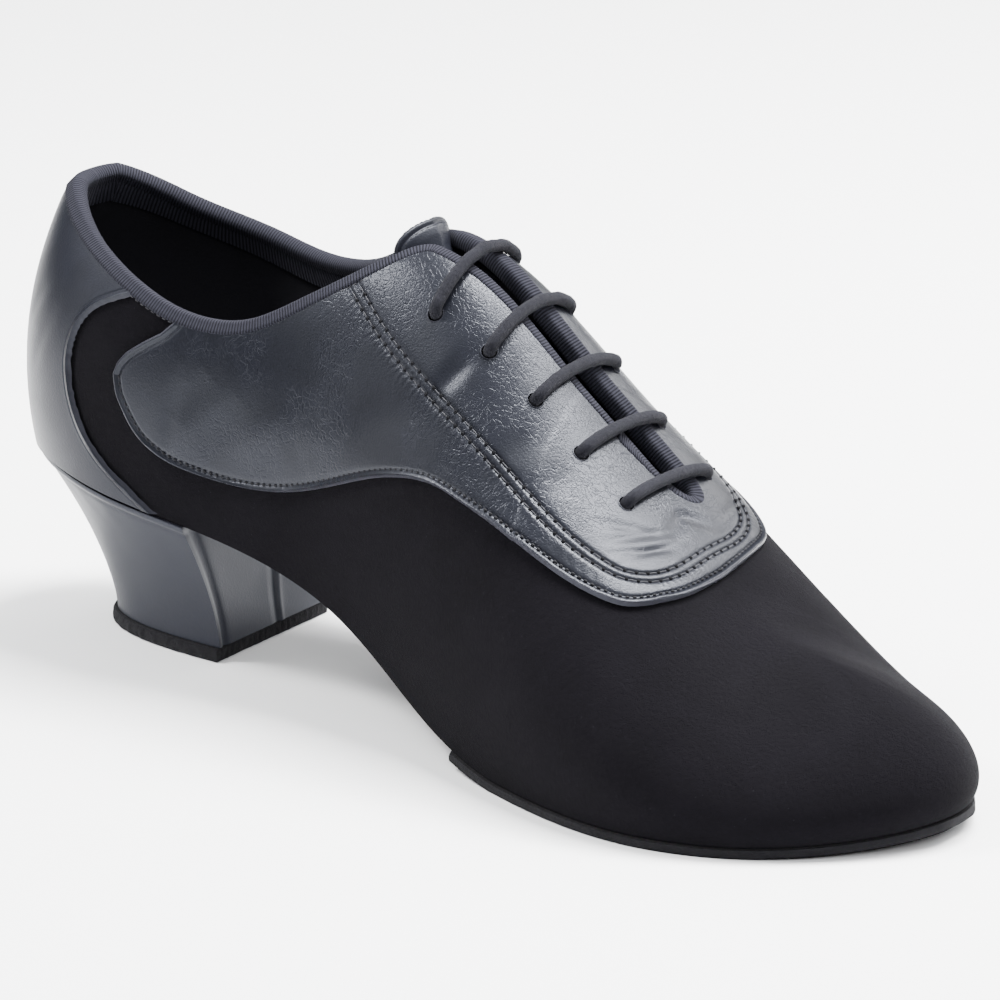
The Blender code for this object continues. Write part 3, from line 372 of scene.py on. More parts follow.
# %% Camera
VIEW_AZIMUTH = math.radians(37.338)
VIEW_HEIGHT = math.radians(19.492)
VIEW_ROLL = math.radians(-0.938)
VIEW_DISTANCE = 1.4441
VIEW_SENSOR = 36             # mm
VIEW_LENS = 5816.67 / 1000 * VIEW_SENSOR
VIEW_SHIFT = (0.003966, 0.027077)
VIEW_TARGET = Vector((0.14 - TIP_MIDDLE, 0, 0.045))

back = Vector((math.sin(VIEW_AZIMUTH) * math.cos(VIEW_HEIGHT),
               -math.cos(VIEW_AZIMUTH) * math.cos(VIEW_HEIGHT), math.sin(VIEW_HEIGHT)))
right = (-back).cross(Vector((0, 0, 1))).normalized()
up = right.cross(-back)
level_right = right * math.cos(VIEW_ROLL) + up * math.sin(VIEW_ROLL)
level_up = up * math.cos(VIEW_ROLL) - right * math.sin(VIEW_ROLL)
camera = bpy.data.objects.new("camera", bpy.data.cameras.new("camera"))
bpy.context.scene.collection.objects.link(camera)
camera.matrix_world = Matrix.Translation(VIEW_TARGET + back * VIEW_DISTANCE) @ Matrix(
    (level_right, level_up, back)).transposed().to_4x4()
camera.data.sensor_width = VIEW_SENSOR
camera.data.lens = VIEW_LENS
camera.data.shift_x, camera.data.shift_y = VIEW_SHIFT
camera.data.clip_start, camera.data.clip_end = 0.01, 50
bpy.context.scene.camera = camera
print("lens, mm:", round(VIEW_LENS, 1))

# %% [markdown]
# ## Helpers for meshes
# Leather, suede and ribbon are sheets, and a sheet is easiest to make as a grid of points with a face between
# every four. Blender's curve objects or a modelled cage would do for some pieces, but a grid lets each point
# carry measured layers, such as its distance to the cut edge. The materials read those layers to put seams
# and rims in the right place, without any UV map.

# %% Meshes from grids
WELD = 5e-6                  # points nearer than this become one


def faces_of(rows, columns, flipped=False, first=0, closed=False):
    """Quads of a grid; a closed grid joins its last column to its first."""
    last = columns if closed else columns - 1
    i, j = np.meshgrid(np.arange(rows - 1), np.arange(last), indexing="ij")
    after = (j + 1) % columns
    here, above = i * columns, (i + 1) * columns
    quads = np.stack([here + j, above + j, above + after, here + after], -1).reshape(-1, 4) + first
    return quads[:, ::-1] if flipped else quads


def new_piece(name, points, faces, material, layers=None, weld=True, sharp=45):
    """A piece on the body "root", with its layers, welded seams and smooth shading."""
    mesh = bpy.data.meshes.new(name)
    mesh.from_pydata(np.asarray(points).reshape(-1, 3).tolist(), [], [list(face) for face in faces])
    for layer, values in (layers or {}).items():
        made = mesh.attributes.new(layer, "FLOAT", "POINT")
        made.data.foreach_set("value", np.asarray(values, np.float32).ravel())
    if weld:
        work = bmesh.new()
        work.from_mesh(mesh)
        bmesh.ops.remove_doubles(work, verts=work.verts[:], dist=WELD)
        bmesh.ops.delete(work, geom=[v for v in work.verts if not v.link_faces], context="VERTS")
        work.to_mesh(mesh)
        work.free()
    mesh.materials.append(material)
    mesh.shade_smooth()
    mesh.set_sharp_from_angle(angle=math.radians(sharp))
    piece = bpy.data.objects.new(name, mesh)
    bpy.context.scene.collection.objects.link(piece)
    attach(piece, "root")
    return piece


def thicken(piece, thickness, inner=None):
    """Gives a sheet its wall, away from the side that its faces look to."""
    wall = piece.modifiers.new("wall", "SOLIDIFY")
    wall.thickness = thickness
    wall.offset = -1
    wall.use_quality_normals = True
    if inner:
        piece.data.materials.append(inner)
        wall.material_offset = 1
        wall.material_offset_rim = 0


def rounded_edge(distance, radius):
    """0 at a cut edge, rising in a quarter circle to 1 at a distance from it."""
    return np.sqrt(np.clip(1 - (1 - np.clip(distance / radius, 0, 1)) ** 2, 0, 1))


def bell(value, middle, width):
    """1 in the middle, falling off softly on both sides."""
    return np.exp(-((value - middle) / width) ** 2)


def on_side(up, side):
    """A share of the way up one side (-1 inside, 1 outside) as across."""
    return up if side < 0 else 2 - up


print("mesh helpers ready; weld distance, mm:", round(WELD / MM, 3))

# %% Points along a curve
def lengths(path):
    """Distance walked along a path at each of its points."""
    steps = np.linalg.norm(np.diff(path, axis=0), axis=1)
    return np.concatenate([[0], np.cumsum(steps)])


def resampled(path, step):
    """A path with evenly spaced points."""
    walked = lengths(path)
    at = np.linspace(0, walked[-1], max(3, int(walked[-1] / step) + 1))
    return np.stack([np.interp(at, walked, path[:, k]) for k in range(path.shape[1])], 1)


def through(rows, count=400):
    """Curve through rows of (station, across), smooth in space and laid on the skin: turns and across."""
    rows = np.array(rows, float)
    turns, across = station_turn(rows[:, 0]), rows[:, 1]
    knots = skin(turns, across)
    walked = lengths(knots)
    at = np.linspace(0, walked[-1], count)
    wanted = np.stack([spline(walked, knots[:, k], at) for k in range(3)], 1)
    turn, over = np.interp(at, walked, turns), np.interp(at, walked, across)
    for _ in range(8):
        turn, over = moved_on_skin(turn, over, wanted - skin(turn, over))
    return turn, over


def ways_on_skin(turn, across):
    """Directions along a curve on the skin and square to it, to its left as seen from outside."""
    point, normal = skin(turn, across), skin_normal(turn, across)
    way = np.gradient(point, axis=0)
    way /= np.maximum(np.linalg.norm(way, axis=-1, keepdims=True), 1e-12)
    return way, np.cross(normal, way)


def moved_on_skin(turn, across, step):
    """Moves points on the skin by short steps in space."""
    along, rising = skin_slopes(turn, across)
    aa, ab, bb = np.sum(along * along, -1), np.sum(along * rising, -1), np.sum(rising * rising, -1)
    sa, sb = np.sum(along * step, -1), np.sum(rising * step, -1)
    area = np.maximum(aa * bb - ab * ab, 1e-18)
    return turn + (sa * bb - sb * ab) / area, across + (sb * aa - sa * ab) / area


def beside_curve(turn, across, distance):
    """The curve on the skin that runs to the left of another at a distance."""
    _, left = ways_on_skin(turn, across)
    return moved_on_skin(turn, across, left * distance)


def nearest(points, path, left=None):
    """Distance of each point to a path, or with its sign to the path's left, and how far along it lies."""
    tree = KDTree(len(path))
    for k, place in enumerate(path):
        tree.insert(place, k)
    tree.balance()
    walked = lengths(path)
    flat = points.reshape(-1, 3)
    found = np.array([tree.find(place)[1] for place in flat])
    offset = flat - path[found]
    if left is None:
        distance = np.linalg.norm(offset, axis=1)
    else:
        distance = np.sum(offset * left[found], axis=1)
    return distance.reshape(points.shape[:-1]), walked[found].reshape(points.shape[:-1])


toe_round = skin(np.linspace(0.9, 1.0, 40), 0.0)
print("edge round the toe, mm:", round(lengths(toe_round)[-1] * 1000, 1))

# %% [markdown]
# ## Helpers for materials
# Every finish of the shoe is made of shader nodes. They can be placed one by one in the node editor. In a
# script the same few steps come back all the time, so a small graph builder does them. Shared effects are
# node groups that give heights, masks and colours, and the shader itself stays in the material, where the
# export can read it.

# %% Node graphs
class Graph:
    """Adds nodes to a tree and links what it is given."""

    def __init__(self, tree):
        self.tree = tree

    def add(self, kind, inputs=None, **settings):
        """A node with its settings. An input is linked if it is a socket, and typed in if it is a value."""
        made = self.tree.nodes.new(kind)
        for key, value in settings.items():
            setattr(made, key, value)
        for key, value in (inputs or {}).items():
            if isinstance(value, bpy.types.NodeSocket):
                self.tree.links.new(value, made.inputs[key])
            else:
                made.inputs[key].default_value = value
        return made

    def math(self, operation, *values, clamp=False):
        made = self.add("ShaderNodeMath", dict(enumerate(values)), operation=operation, use_clamp=clamp)
        return made.outputs[0]

    def layer(self, name):
        return self.add("ShaderNodeAttribute", attribute_name=name).outputs["Fac"]

    def place(self):
        """Where a point lies on the shoe, in millimetres."""
        where = self.add("ShaderNodeTexCoord").outputs["Object"]
        return self.add("ShaderNodeVectorMath", {0: where, "Scale": 1000.0}, operation="SCALE").outputs[0]

    def noise(self, where, scale, detail=2.0, rough=0.5, twist=0.0):
        made = self.add("ShaderNodeTexNoise", {"Vector": where, "Scale": scale, "Detail": detail,
                                               "Roughness": rough, "Distortion": twist})
        return made.outputs["Fac"]

    def stretched(self, where, factors):
        return self.add("ShaderNodeVectorMath", {0: where, 1: factors}, operation="MULTIPLY").outputs[0]

    def between(self, value, low, high):
        """0 below one value, 1 above another."""
        made = self.add("ShaderNodeMapRange", {"Value": value, "From Min": low, "From Max": high},
                        interpolation_type="SMOOTHSTEP")
        return made.outputs["Result"]

    def groove(self, distance, at, width):
        """1 at a distance, falling off softly on both sides."""
        away = self.math("DIVIDE", self.math("SUBTRACT", distance, at), width)
        return self.math("EXPONENT", self.math("MULTIPLY", self.math("MULTIPLY", away, away), -1.0))

    def blend(self, share, first, second):
        made = self.add("ShaderNodeMix", {"Factor": share}, data_type="RGBA")
        for key, value in (("A_Color", first), ("B_Color", second)):
            socket = next(s for s in made.inputs if s.identifier == key)
            if isinstance(value, bpy.types.NodeSocket):
                self.tree.links.new(value, socket)
            else:
                socket.default_value = (*value, 1.0)
        return next(s for s in made.outputs if s.identifier == "Result_Color")


def new_group(name, inputs, outputs):
    """An empty node group with named number or colour sockets."""
    group = bpy.data.node_groups.new(name, "ShaderNodeTree")
    for key, value in inputs.items():
        kind = "NodeSocketColor" if isinstance(value, tuple) else "NodeSocketFloat"
        socket = group.interface.new_socket(key, in_out="INPUT", socket_type=kind)
        socket.default_value = (*value, 1.0) if isinstance(value, tuple) else value
    for key, kind in outputs.items():
        group.interface.new_socket(key, in_out="OUTPUT", socket_type=kind)
    graph = Graph(group)
    return group, graph, group.nodes.new("NodeGroupInput"), group.nodes.new("NodeGroupOutput")


def use_group(graph, group, inputs=None):
    made = graph.add("ShaderNodeGroup", node_tree=group)
    for key, value in (inputs or {}).items():
        if isinstance(value, bpy.types.NodeSocket):
            graph.tree.links.new(value, made.inputs[key])
        else:
            made.inputs[key].default_value = (*value, 1.0) if isinstance(value, tuple) else value
    return made


def new_material(name, colour, roughness, height, depth=1.0, **sockets):
    """A material from a colour, a roughness and a height in millimetres; fixed values go on the shader."""
    material = bpy.data.materials.new(name)
    material.use_nodes = True
    graph = Graph(material.node_tree)
    shader = material.node_tree.nodes["Principled BSDF"]
    made_colour, made_roughness, made_height = colour(graph), roughness(graph), height(graph)
    graph.tree.links.new(made_colour, shader.inputs["Base Color"])
    if isinstance(made_roughness, bpy.types.NodeSocket):
        graph.tree.links.new(made_roughness, shader.inputs["Roughness"])
    else:
        shader.inputs["Roughness"].default_value = made_roughness
    bump = graph.add("ShaderNodeBump", {"Height": made_height, "Distance": 0.001, "Strength": depth})
    graph.tree.links.new(bump.outputs["Normal"], shader.inputs["Normal"])
    for key, value in sockets.items():
        shader.inputs[key.replace("_", " ")].default_value = value
    return material


print("material helpers ready")

# %% [markdown]
# ## Grain of the leather
# The real leather is soft and glossy, with a fine pebble, small pores and, in patches where the foot bends
# it, a net of thin wrinkles. A scanned texture would show all three. Nodes are used instead, because they
# need no image and keep their scale on every piece: a soft Voronoi for the pebble, a noise for the pores, and
# the edges of a warped Voronoi for the wrinkles. The group gives a height in millimetres and a shade from 0
# to 1.

# %% Grain
PEBBLE_DEPTH, PORE_DEPTH, CRACK_DEPTH = 0.030, 0.012, 0.030      # mm
CRACK_WIDTH = 0.10           # share of a cell of the wrinkle net

grain, g, ends, out = new_group("grain", {"Wrinkle": 1.0}, {"Height": "NodeSocketFloat",
                                                          "Shade": "NodeSocketFloat"})
where = g.place()
pebble = g.add("ShaderNodeTexVoronoi", {"Vector": where, "Scale": 1.9, "Smoothness": 0.6, "Detail": 1.0},
               feature="SMOOTH_F1").outputs["Distance"]
pores = g.noise(where, 2.8, 3.0, 0.65)
warped = g.add("ShaderNodeVectorMath", {0: where, 1: g.stretched(
    g.add("ShaderNodeTexNoise", {"Vector": where, "Scale": 0.16, "Detail": 3.0}).outputs["Color"],
    (9.0, 9.0, 9.0))}, operation="ADD").outputs[0]
cracks = g.add("ShaderNodeTexVoronoi", {"Vector": g.stretched(warped, (1.0, 1.0, 0.55)), "Scale": 0.62},
               feature="DISTANCE_TO_EDGE").outputs["Distance"]
patches = g.between(g.noise(where, 0.05, 2.0), 0.40, 0.56)       # where the wrinkles show
crack_line = g.math("SUBTRACT", 1.0, g.between(cracks, 0.0, CRACK_WIDTH))
crack_here = g.math("MULTIPLY", g.math("MULTIPLY", crack_line, patches), ends.outputs["Wrinkle"])
fine = g.math("ADD", g.math("MULTIPLY", pebble, PEBBLE_DEPTH), g.math("MULTIPLY", pores, PORE_DEPTH))
g.tree.links.new(g.math("SUBTRACT", fine, g.math("MULTIPLY", crack_here, CRACK_DEPTH)), out.inputs["Height"])
g.tree.links.new(g.math("ADD", g.math("MULTIPLY", pores, 0.6), g.math("MULTIPLY", patches, 0.4)),
                 out.inputs["Shade"])
print("grain, depth of its wrinkles in mm:", CRACK_DEPTH)

# %% [markdown]
# ## Nap
# Suede is leather with its fibres brushed up: it has no gloss, and its tone drifts where the brush went
# another way. The lace and the buffed sole look alike from close by. Hair particles could stand for the
# fibres, but they are too fine to see at this distance, so a stretched noise gives their height and a broad
# one their tone. Rare pale specks are the lint that dark suede picks up.

# %% Nap
SPECK_SIZE = 0.055           # share of the distance between two specks of lint
nap, g, ends, out = new_group("nap", {"Size": 1.0, "Length": 0.05},
                              {"Height": "NodeSocketFloat", "Shade": "NodeSocketFloat",
                               "Lint": "NodeSocketFloat"})
where = g.add("ShaderNodeVectorMath", {0: g.place(), "Scale": ends.outputs["Size"]},
              operation="SCALE").outputs[0]
fibres = g.noise(g.stretched(where, (2.2, 5.0, 5.0)), 1.0, 4.0, 0.7, 0.6)
clumps = g.noise(where, 0.9, 3.0, 0.6)
brushed = g.noise(where, 0.045, 3.0, 0.55, 0.8)
g.tree.links.new(g.math("MULTIPLY", g.math("ADD", fibres, clumps), ends.outputs["Length"]),
                 out.inputs["Height"])
g.tree.links.new(g.math("ADD", g.math("MULTIPLY", brushed, 0.55), g.math("MULTIPLY", fibres, 0.45)),
                 out.inputs["Shade"])
specks = g.add("ShaderNodeTexVoronoi", {"Vector": where, "Scale": 0.42, "Randomness": 1.0},
               feature="F1").outputs["Distance"]
g.tree.links.new(g.math("MULTIPLY", g.math("LESS_THAN", specks, SPECK_SIZE), 0.5), out.inputs["Lint"])
print("nap, its outputs:", [socket.name for socket in nap.interface.items_tree if socket.in_out == "OUTPUT"])

# %% [markdown]
# ## Ribs
# The ribbon on the real edge is a woven tape with fine ribs across it. Modelling each rib would take a
# million faces. The tape's mesh knows instead how far along it each point lies, and the group turns that
# length into a row of round ribs with a little noise for the single threads, and into a shade that is painted
# shade in the valleys between the ribs and painted light on their tops.

# %% Ribs
RIB_DEPTH, THREAD_DEPTH = 0.16, 0.05      # mm
ribs, g, ends, out = new_group("ribs", {"Along": 0.0, "Pitch": 0.7}, {"Height": "NodeSocketFloat",
                                                                     "Shade": "NodeSocketFloat"})
phase = g.math("MULTIPLY", g.math("DIVIDE", ends.outputs["Along"], ends.outputs["Pitch"]), math.pi)
rib = g.math("ABSOLUTE", g.math("SINE", phase))
threads = g.noise(g.place(), 5.0, 2.0, 0.6)
g.tree.links.new(g.math("ADD", g.math("MULTIPLY", rib, RIB_DEPTH), g.math("MULTIPLY", threads, THREAD_DEPTH)),
                 out.inputs["Height"])
# Shade: painted shade in the valleys between the ribs and painted light on their tops, varied by the threads
g.tree.links.new(g.math("MULTIPLY", rib, g.math("ADD", 0.55, g.math("MULTIPLY", threads, 0.9))),
                 out.inputs["Shade"])
print("shared effects:", [group.name for group in bpy.data.node_groups])

# %% [markdown]
# ## Leather of the panels and the heel
# The saddle is glazed leather, near black with a blue cast and soft highlights, a little drier on the heel.
# Its seams pull it down in grooves, it puckers between them, and a band along its cut edge is painted
# paler, a painted highlight of the rounded edge. The grooves could be carved into the mesh alone, but a bump
# is crisper at this size, so the mesh has the broad dent and the material the fine one. The panels' layers
# are
# `edge`, the distance to the cut edge, `row`, the distance to the outer line of the double seam, and `along`,
# the way along it, all in millimetres.

# %% Leather
SEAM_SPREAD = 2.4 * MM       # between the two lines of the double seam
COOL_TINT = (0.84, 0.88, 1.0, 1.0)      # the glaze's blue cast in its highlights
EDGE_SUNK, EDGE_RAISED, ROW_SUNK, PUCKER = 0.20, 0.10, 0.22, 0.020      # mm


def leather_height(graph, seam_at, double=True, wrinkle=1.0):
    """Grain, the groove of the seam along the edge and, where there is one, the double seam."""
    effect = use_group(graph, grain, {"Wrinkle": wrinkle})
    edge = graph.layer("edge")
    sunk = graph.math("MULTIPLY", graph.groove(edge, seam_at, 0.42), EDGE_SUNK)
    rim = graph.math("MULTIPLY", graph.groove(edge, seam_at / 2, 0.55), EDGE_RAISED)
    height = graph.math("ADD", graph.math("SUBTRACT", effect.outputs["Height"], sunk), rim)
    if not double:
        return height
    row, along = graph.layer("row"), graph.layer("along")
    for at in (0.0, SEAM_SPREAD * 1000):
        height = graph.math("SUBTRACT", height, graph.math("MULTIPLY", graph.groove(row, at, 0.5), ROW_SUNK))
    wobble = graph.math("MULTIPLY", graph.noise(graph.place(), 0.35, 2.0), 9.0)
    pucker = graph.math("SINE", graph.math("ADD", graph.math("MULTIPLY", along, 3.4), wobble))
    near = graph.math("MULTIPLY", graph.groove(row, -0.6, 2.2), PUCKER)
    return graph.math("ADD", height, graph.math("MULTIPLY", pucker, near))


def leather_colour(graph, dark, light, cut):
    """Two tones, and a third in a band along the cut edge, which is a painted highlight."""
    effect = use_group(graph, grain)
    tone = graph.blend(effect.outputs["Shade"], dark, light)
    ragged = graph.math("MULTIPLY", graph.noise(graph.place(), 1.6, 3.0, 0.7), 0.9)
    reach = graph.math("ADD", graph.layer("edge"), ragged)
    # cut is the colour of the band within about a millimetre of the edge: a painted highlight, not a colour
    # of the leather
    return graph.blend(graph.math("SUBTRACT", 1.0, graph.between(reach, 0.8, 1.35)), tone, cut)


def leather_roughness(graph, low, high):
    """Smoother where the grain is pale."""
    shade = use_group(graph, grain).outputs["Shade"]
    return graph.add("ShaderNodeMapRange", {"Value": shade, "To Min": high, "To Max": low}).outputs["Result"]


# Each leather's third colour is its painted edge highlight; the heel's equals its dark tone, so the heel has
# none
saddle_leather = new_material(
    "saddle_leather", lambda g: leather_colour(g, (0.0025, 0.0027, 0.0042), (0.0060, 0.0064, 0.0095),
                                               (0.026, 0.026, 0.033)),
    lambda g: leather_roughness(g, 0.29, 0.38), lambda g: leather_height(g, 2.0),
    Specular_IOR_Level=0.20, Specular_Tint=COOL_TINT)
counter_leather = new_material(
    "counter_leather", lambda g: leather_colour(g, (0.0045, 0.0047, 0.007), (0.009, 0.0096, 0.0135),
                                                (0.012, 0.012, 0.016)),
    lambda g: leather_roughness(g, 0.34, 0.42), lambda g: leather_height(g, 1.9, False, 0.25),
    Specular_IOR_Level=0.15, Specular_Tint=COOL_TINT)
heel_leather = new_material(
    "heel_leather", lambda g: leather_colour(g, (0.012, 0.0128, 0.018), (0.018, 0.0195, 0.027),
                                             (0.012, 0.0128, 0.018)),
    lambda g: leather_roughness(g, 0.38, 0.46), lambda g: g.math("MULTIPLY", use_group(
        g, grain, {"Wrinkle": 0.3}).outputs["Height"], 0.7),
    Specular_IOR_Level=0.17, Specular_Tint=COOL_TINT)
print("leathers made")

# %% [markdown]
# ## Suede, lining, sole and lace
# All four are fibres without gloss. They could have one material with four colours, but they differ in how
# long their fibres are: the upper's suede is short and dense, the lining nearly smooth, the sole brushed
# rough with a wire brush, and the cotton lace woolly. So each takes the nap group with its own size and
# length. Next to no specular keeps them from going grey under the lamps, as real suede doesn't.

# %% Napped materials
def nap_colour(graph, dark, light, lint=0.0, size=1.0):
    """Two tones of brushed fibre, with specks of lint where there is any."""
    effect = use_group(graph, nap, {"Size": size})
    tone = graph.blend(effect.outputs["Shade"], dark, light)
    if not lint:
        return tone
    return graph.blend(graph.math("MULTIPLY", effect.outputs["Lint"], lint), tone, (0.06, 0.06, 0.07))


def nap_height(graph, size, length):
    return use_group(graph, nap, {"Size": size, "Length": length}).outputs["Height"]


suede = new_material(
    "suede", lambda g: nap_colour(g, (0.0008, 0.0007, 0.0011), (0.0050, 0.0045, 0.0062), 0.30),
    lambda g: 0.95, lambda g: nap_height(g, 1.0, 0.24), Specular_IOR_Level=0.04, Sheen_Weight=0.010,
    Sheen_Roughness=0.45)
lining_cloth = new_material(
    "lining_cloth", lambda g: nap_colour(g, (0.005, 0.0047, 0.0065), (0.011, 0.0105, 0.0140), 0.0, 1.6),
    lambda g: 0.9, lambda g: nap_height(g, 1.8, 0.06), Specular_IOR_Level=0.2)
buffed_sole = new_material(
    "buffed_sole", lambda g: nap_colour(g, (0.0020, 0.0019, 0.0025), (0.010, 0.0095, 0.012), 0.3, 0.8),
    lambda g: 0.97, lambda g: nap_height(g, 0.7, 0.35), Specular_IOR_Level=0.12, Sheen_Weight=0.04)
lace_cotton = new_material(
    "lace_cotton", lambda g: nap_colour(g, (0.003, 0.003, 0.0045), (0.016, 0.016, 0.022), 0.15, 1.3),
    lambda g: 0.93, lambda g: nap_height(g, 1.0, 0.42), Specular_IOR_Level=0.08, Sheen_Weight=0.03,
    Sheen_Roughness=0.5)
print("napped materials made")

# %% [markdown]
# ## Tape and thread
# The ribbon is ribbed tape with little gloss, and the stitches are dark polished thread. Both could be one
# flat colour at this distance, but the tape's ribs catch the light one by one in the photograph, so the
# tape's colour is painted dark in the valleys between the ribs and light on their tops, as painted shade and
# painted light; a stitch needs a tone a little lighter or darker than the leather that it lies on. The needle
# holes beside it are nearly black beads sunk into the leather: painted shade of holes that the mesh doesn't
# have.

# %% Tape and thread
def rib_material(name, pitch, dark, light):
    def colour(graph):
        effect = use_group(graph, ribs, {"Along": graph.layer("along"), "Pitch": pitch})
        # dark in the rib valleys, light on the rib tops: painted shade and painted light
        return graph.blend(effect.outputs["Shade"], dark, light)

    def height(graph):
        return use_group(graph, ribs, {"Along": graph.layer("along"), "Pitch": pitch}).outputs["Height"]

    return new_material(name, colour, lambda g: 0.82, height, Specular_IOR_Level=0.05, Sheen_Weight=0.01)


# First colour: painted shade of the rib valleys; second: painted light of the rib tops.
ribbon_cloth = rib_material("ribbon_cloth", 0.80, (0.002, 0.002, 0.003), (0.018, 0.018, 0.025))
tape_cloth = rib_material("tape_cloth", 0.95, (0.002, 0.002, 0.003), (0.030, 0.030, 0.040))
thread = new_material(
    "thread", lambda g: nap_colour(g, (0.006, 0.006, 0.009), (0.018, 0.018, 0.024), 0.0, 2.0),
    lambda g: 0.6, lambda g: nap_height(g, 2.5, 0.05), Specular_IOR_Level=0.4)
dark_thread = new_material(
    "dark_thread", lambda g: nap_colour(g, (0.002, 0.002, 0.003), (0.008, 0.008, 0.011), 0.0, 2.0),
    lambda g: 0.75, lambda g: nap_height(g, 2.5, 0.05), Specular_IOR_Level=0.2)
# Nearly black beads in the needle holes: painted shade of holes that the leather mesh doesn't have.
needle_hole_shade = new_material("needle_hole_shade", lambda g: nap_colour(g, (0.002, 0.002, 0.003), (0.005, 0.005, 0.006)),
                        lambda g: 0.9, lambda g: nap_height(g, 2.0, 0.02), Specular_IOR_Level=0.1)
print("materials:", len(bpy.data.materials))

# %% [markdown]
# ## The double seam and the creases
# Two lines of stitching run from the collar down the facing, round the front of the throat and back up.
# Creases are where the lace has pulled the leather or the foot has bent it. They can be sculpted with a
# brush. Written as short lines on the skin, with a width and a depth, they can be moved one at a time, and
# suede and leather share them.

# %% Seam and creases
SEAM_ROW = ((0.378, 0.660), (0.430, 0.590), (0.512, 0.575), (0.572, 0.595), (0.633, 0.618), (0.682, 0.642),
            (0.712, 0.665), (0.737, 0.693), (0.765, 0.752), (0.792, 0.848), (0.814, 0.970), (0.807, 1.060),
            (0.790, 1.142), (0.752, 1.272), (0.700, 1.360), (0.633, 1.400), (0.550, 1.415), (0.460, 1.410),
            (0.385, 1.350))

# Each crease: station and across of both its ends, then width and depth in millimetres (a ridge is negative).
CREASES = (
    (0.531, 0.760, 0.504, 0.590, 2.6, 0.75),
    (0.600, 0.740, 0.598, 0.640, 3.2, 0.40),
    (0.645, 0.780, 0.650, 0.690, 3.0, 0.30),
    (0.769, 0.930, 0.776, 1.100, 2.2, 0.80),
    (0.776, 1.100, 0.714, 1.343, 2.2, 0.45),
    (0.715, 0.745, 0.769, 0.930, 1.5, 0.40),
    (0.722, 0.725, 0.779, 0.900, 1.2, 0.30),
    (0.735, 0.735, 0.786, 0.950, 1.2, 0.28),
    (0.700, 0.760, 0.752, 0.880, 1.6, 0.30),
    (0.668, 0.610, 0.684, 0.560, 1.3, 0.22),
    (0.682, 0.622, 0.697, 0.575, 1.3, 0.22),
    (0.696, 0.634, 0.710, 0.590, 1.2, 0.20),
    (0.709, 0.648, 0.722, 0.606, 1.2, 0.20),
    (0.236, 0.200, 0.262, 0.330, 4.0, 0.45),
    (0.262, 0.150, 0.300, 0.300, 4.5, 0.40),
    (0.300, 0.180, 0.352, 0.330, 4.5, -0.35),
    (0.225, 0.140, 0.232, 0.300, 2.6, 0.35),
    (0.360, 0.260, 0.420, 0.420, 6.0, -0.40),
    (0.420, 0.420, 0.500, 0.520, 5.0, 0.45),
    (0.700, 0.400, 0.722, 0.270, 3.4, 0.30),
    (0.735, 0.440, 0.752, 0.300, 3.0, 0.26),
    (0.820, 0.860, 0.850, 1.050, 4.5, 0.35),
    (0.060, 0.380, 0.040, 0.250, 2.6, 0.25),
    (0.085, 0.330, 0.060, 0.180, 2.2, 0.20),
)
CREASE_STEPS = 8             # straight parts of a crease's line
FAR_AWAY = 1.0               # m, more than the shoe is long

seam_turn, seam_across = through(SEAM_ROW)
seam_path = skin(seam_turn, seam_across)
_, seam_left = ways_on_skin(seam_turn, seam_across)
print("double seam, mm:", round(lengths(seam_path)[-1] * 1000, 1), "creases:", len(CREASES))

# %% Height of creases and waves
def crease_height(points):
    """Height that the creases add to the leather at each point, in metres."""
    total = np.zeros(points.shape[:-1])
    for first, start, last, finish, width, depth in CREASES:
        turn = station_turn(np.linspace(first, last, CREASE_STEPS + 1))
        across = np.linspace(start, finish, CREASE_STEPS + 1)
        line = skin(turn, across)
        walk = lengths(line)
        best = np.full(points.shape[:-1], FAR_AWAY)
        share = np.zeros(points.shape[:-1])
        for k, place in enumerate(line):
            away = np.linalg.norm(points - place, axis=-1)
            near = away < best
            best, share = np.where(near, away, best), np.where(near, walk[k] / walk[-1], share)
        for k in range(CREASE_STEPS):
            way = line[k + 1] - line[k]
            part = np.clip(np.sum((points - line[k]) * way, -1) / np.dot(way, way), 0, 1)
            away = np.linalg.norm(points - line[k] - part[..., None] * way, axis=-1)
            near = away < best
            best = np.where(near, away, best)
            share = np.where(near, (walk[k] + part * (walk[k + 1] - walk[k])) / walk[-1], share)
        fade = np.sin(math.pi * np.clip(share * 0.8 + 0.1, 0, 1))
        total -= depth * MM * np.exp(-(best / (width * MM)) ** 2) * fade
    return total


def waves(points, size, depth, seed):
    """Broad, shallow unevenness of worn material, from a few fixed waves."""
    total = np.zeros(points.shape[:-1])
    for k in range(5):
        turned = seed + 2.1 * k
        way = np.array((math.cos(turned), math.sin(1.7 * turned), math.sin(turned)))
        total += np.sin(points @ way * (math.tau / (size * (1 + 0.37 * k))) + 3 * seed + k)
    return total * depth / 5


print("creases reach, mm under the skin:", round(-float(crease_height(seam_path).min()) * 1000, 2))

# %% [markdown]
# ## Punched holes
# The lace goes through ten plain holes, without metal eyelets, and a flat dark disc wouldn't do from the
# side. A Boolean cut gives clean holes but leaves long thin faces round them. Here the grid's faces inside a
# hole are taken out and the points left round it are pulled into a circle, which keeps the mesh even.

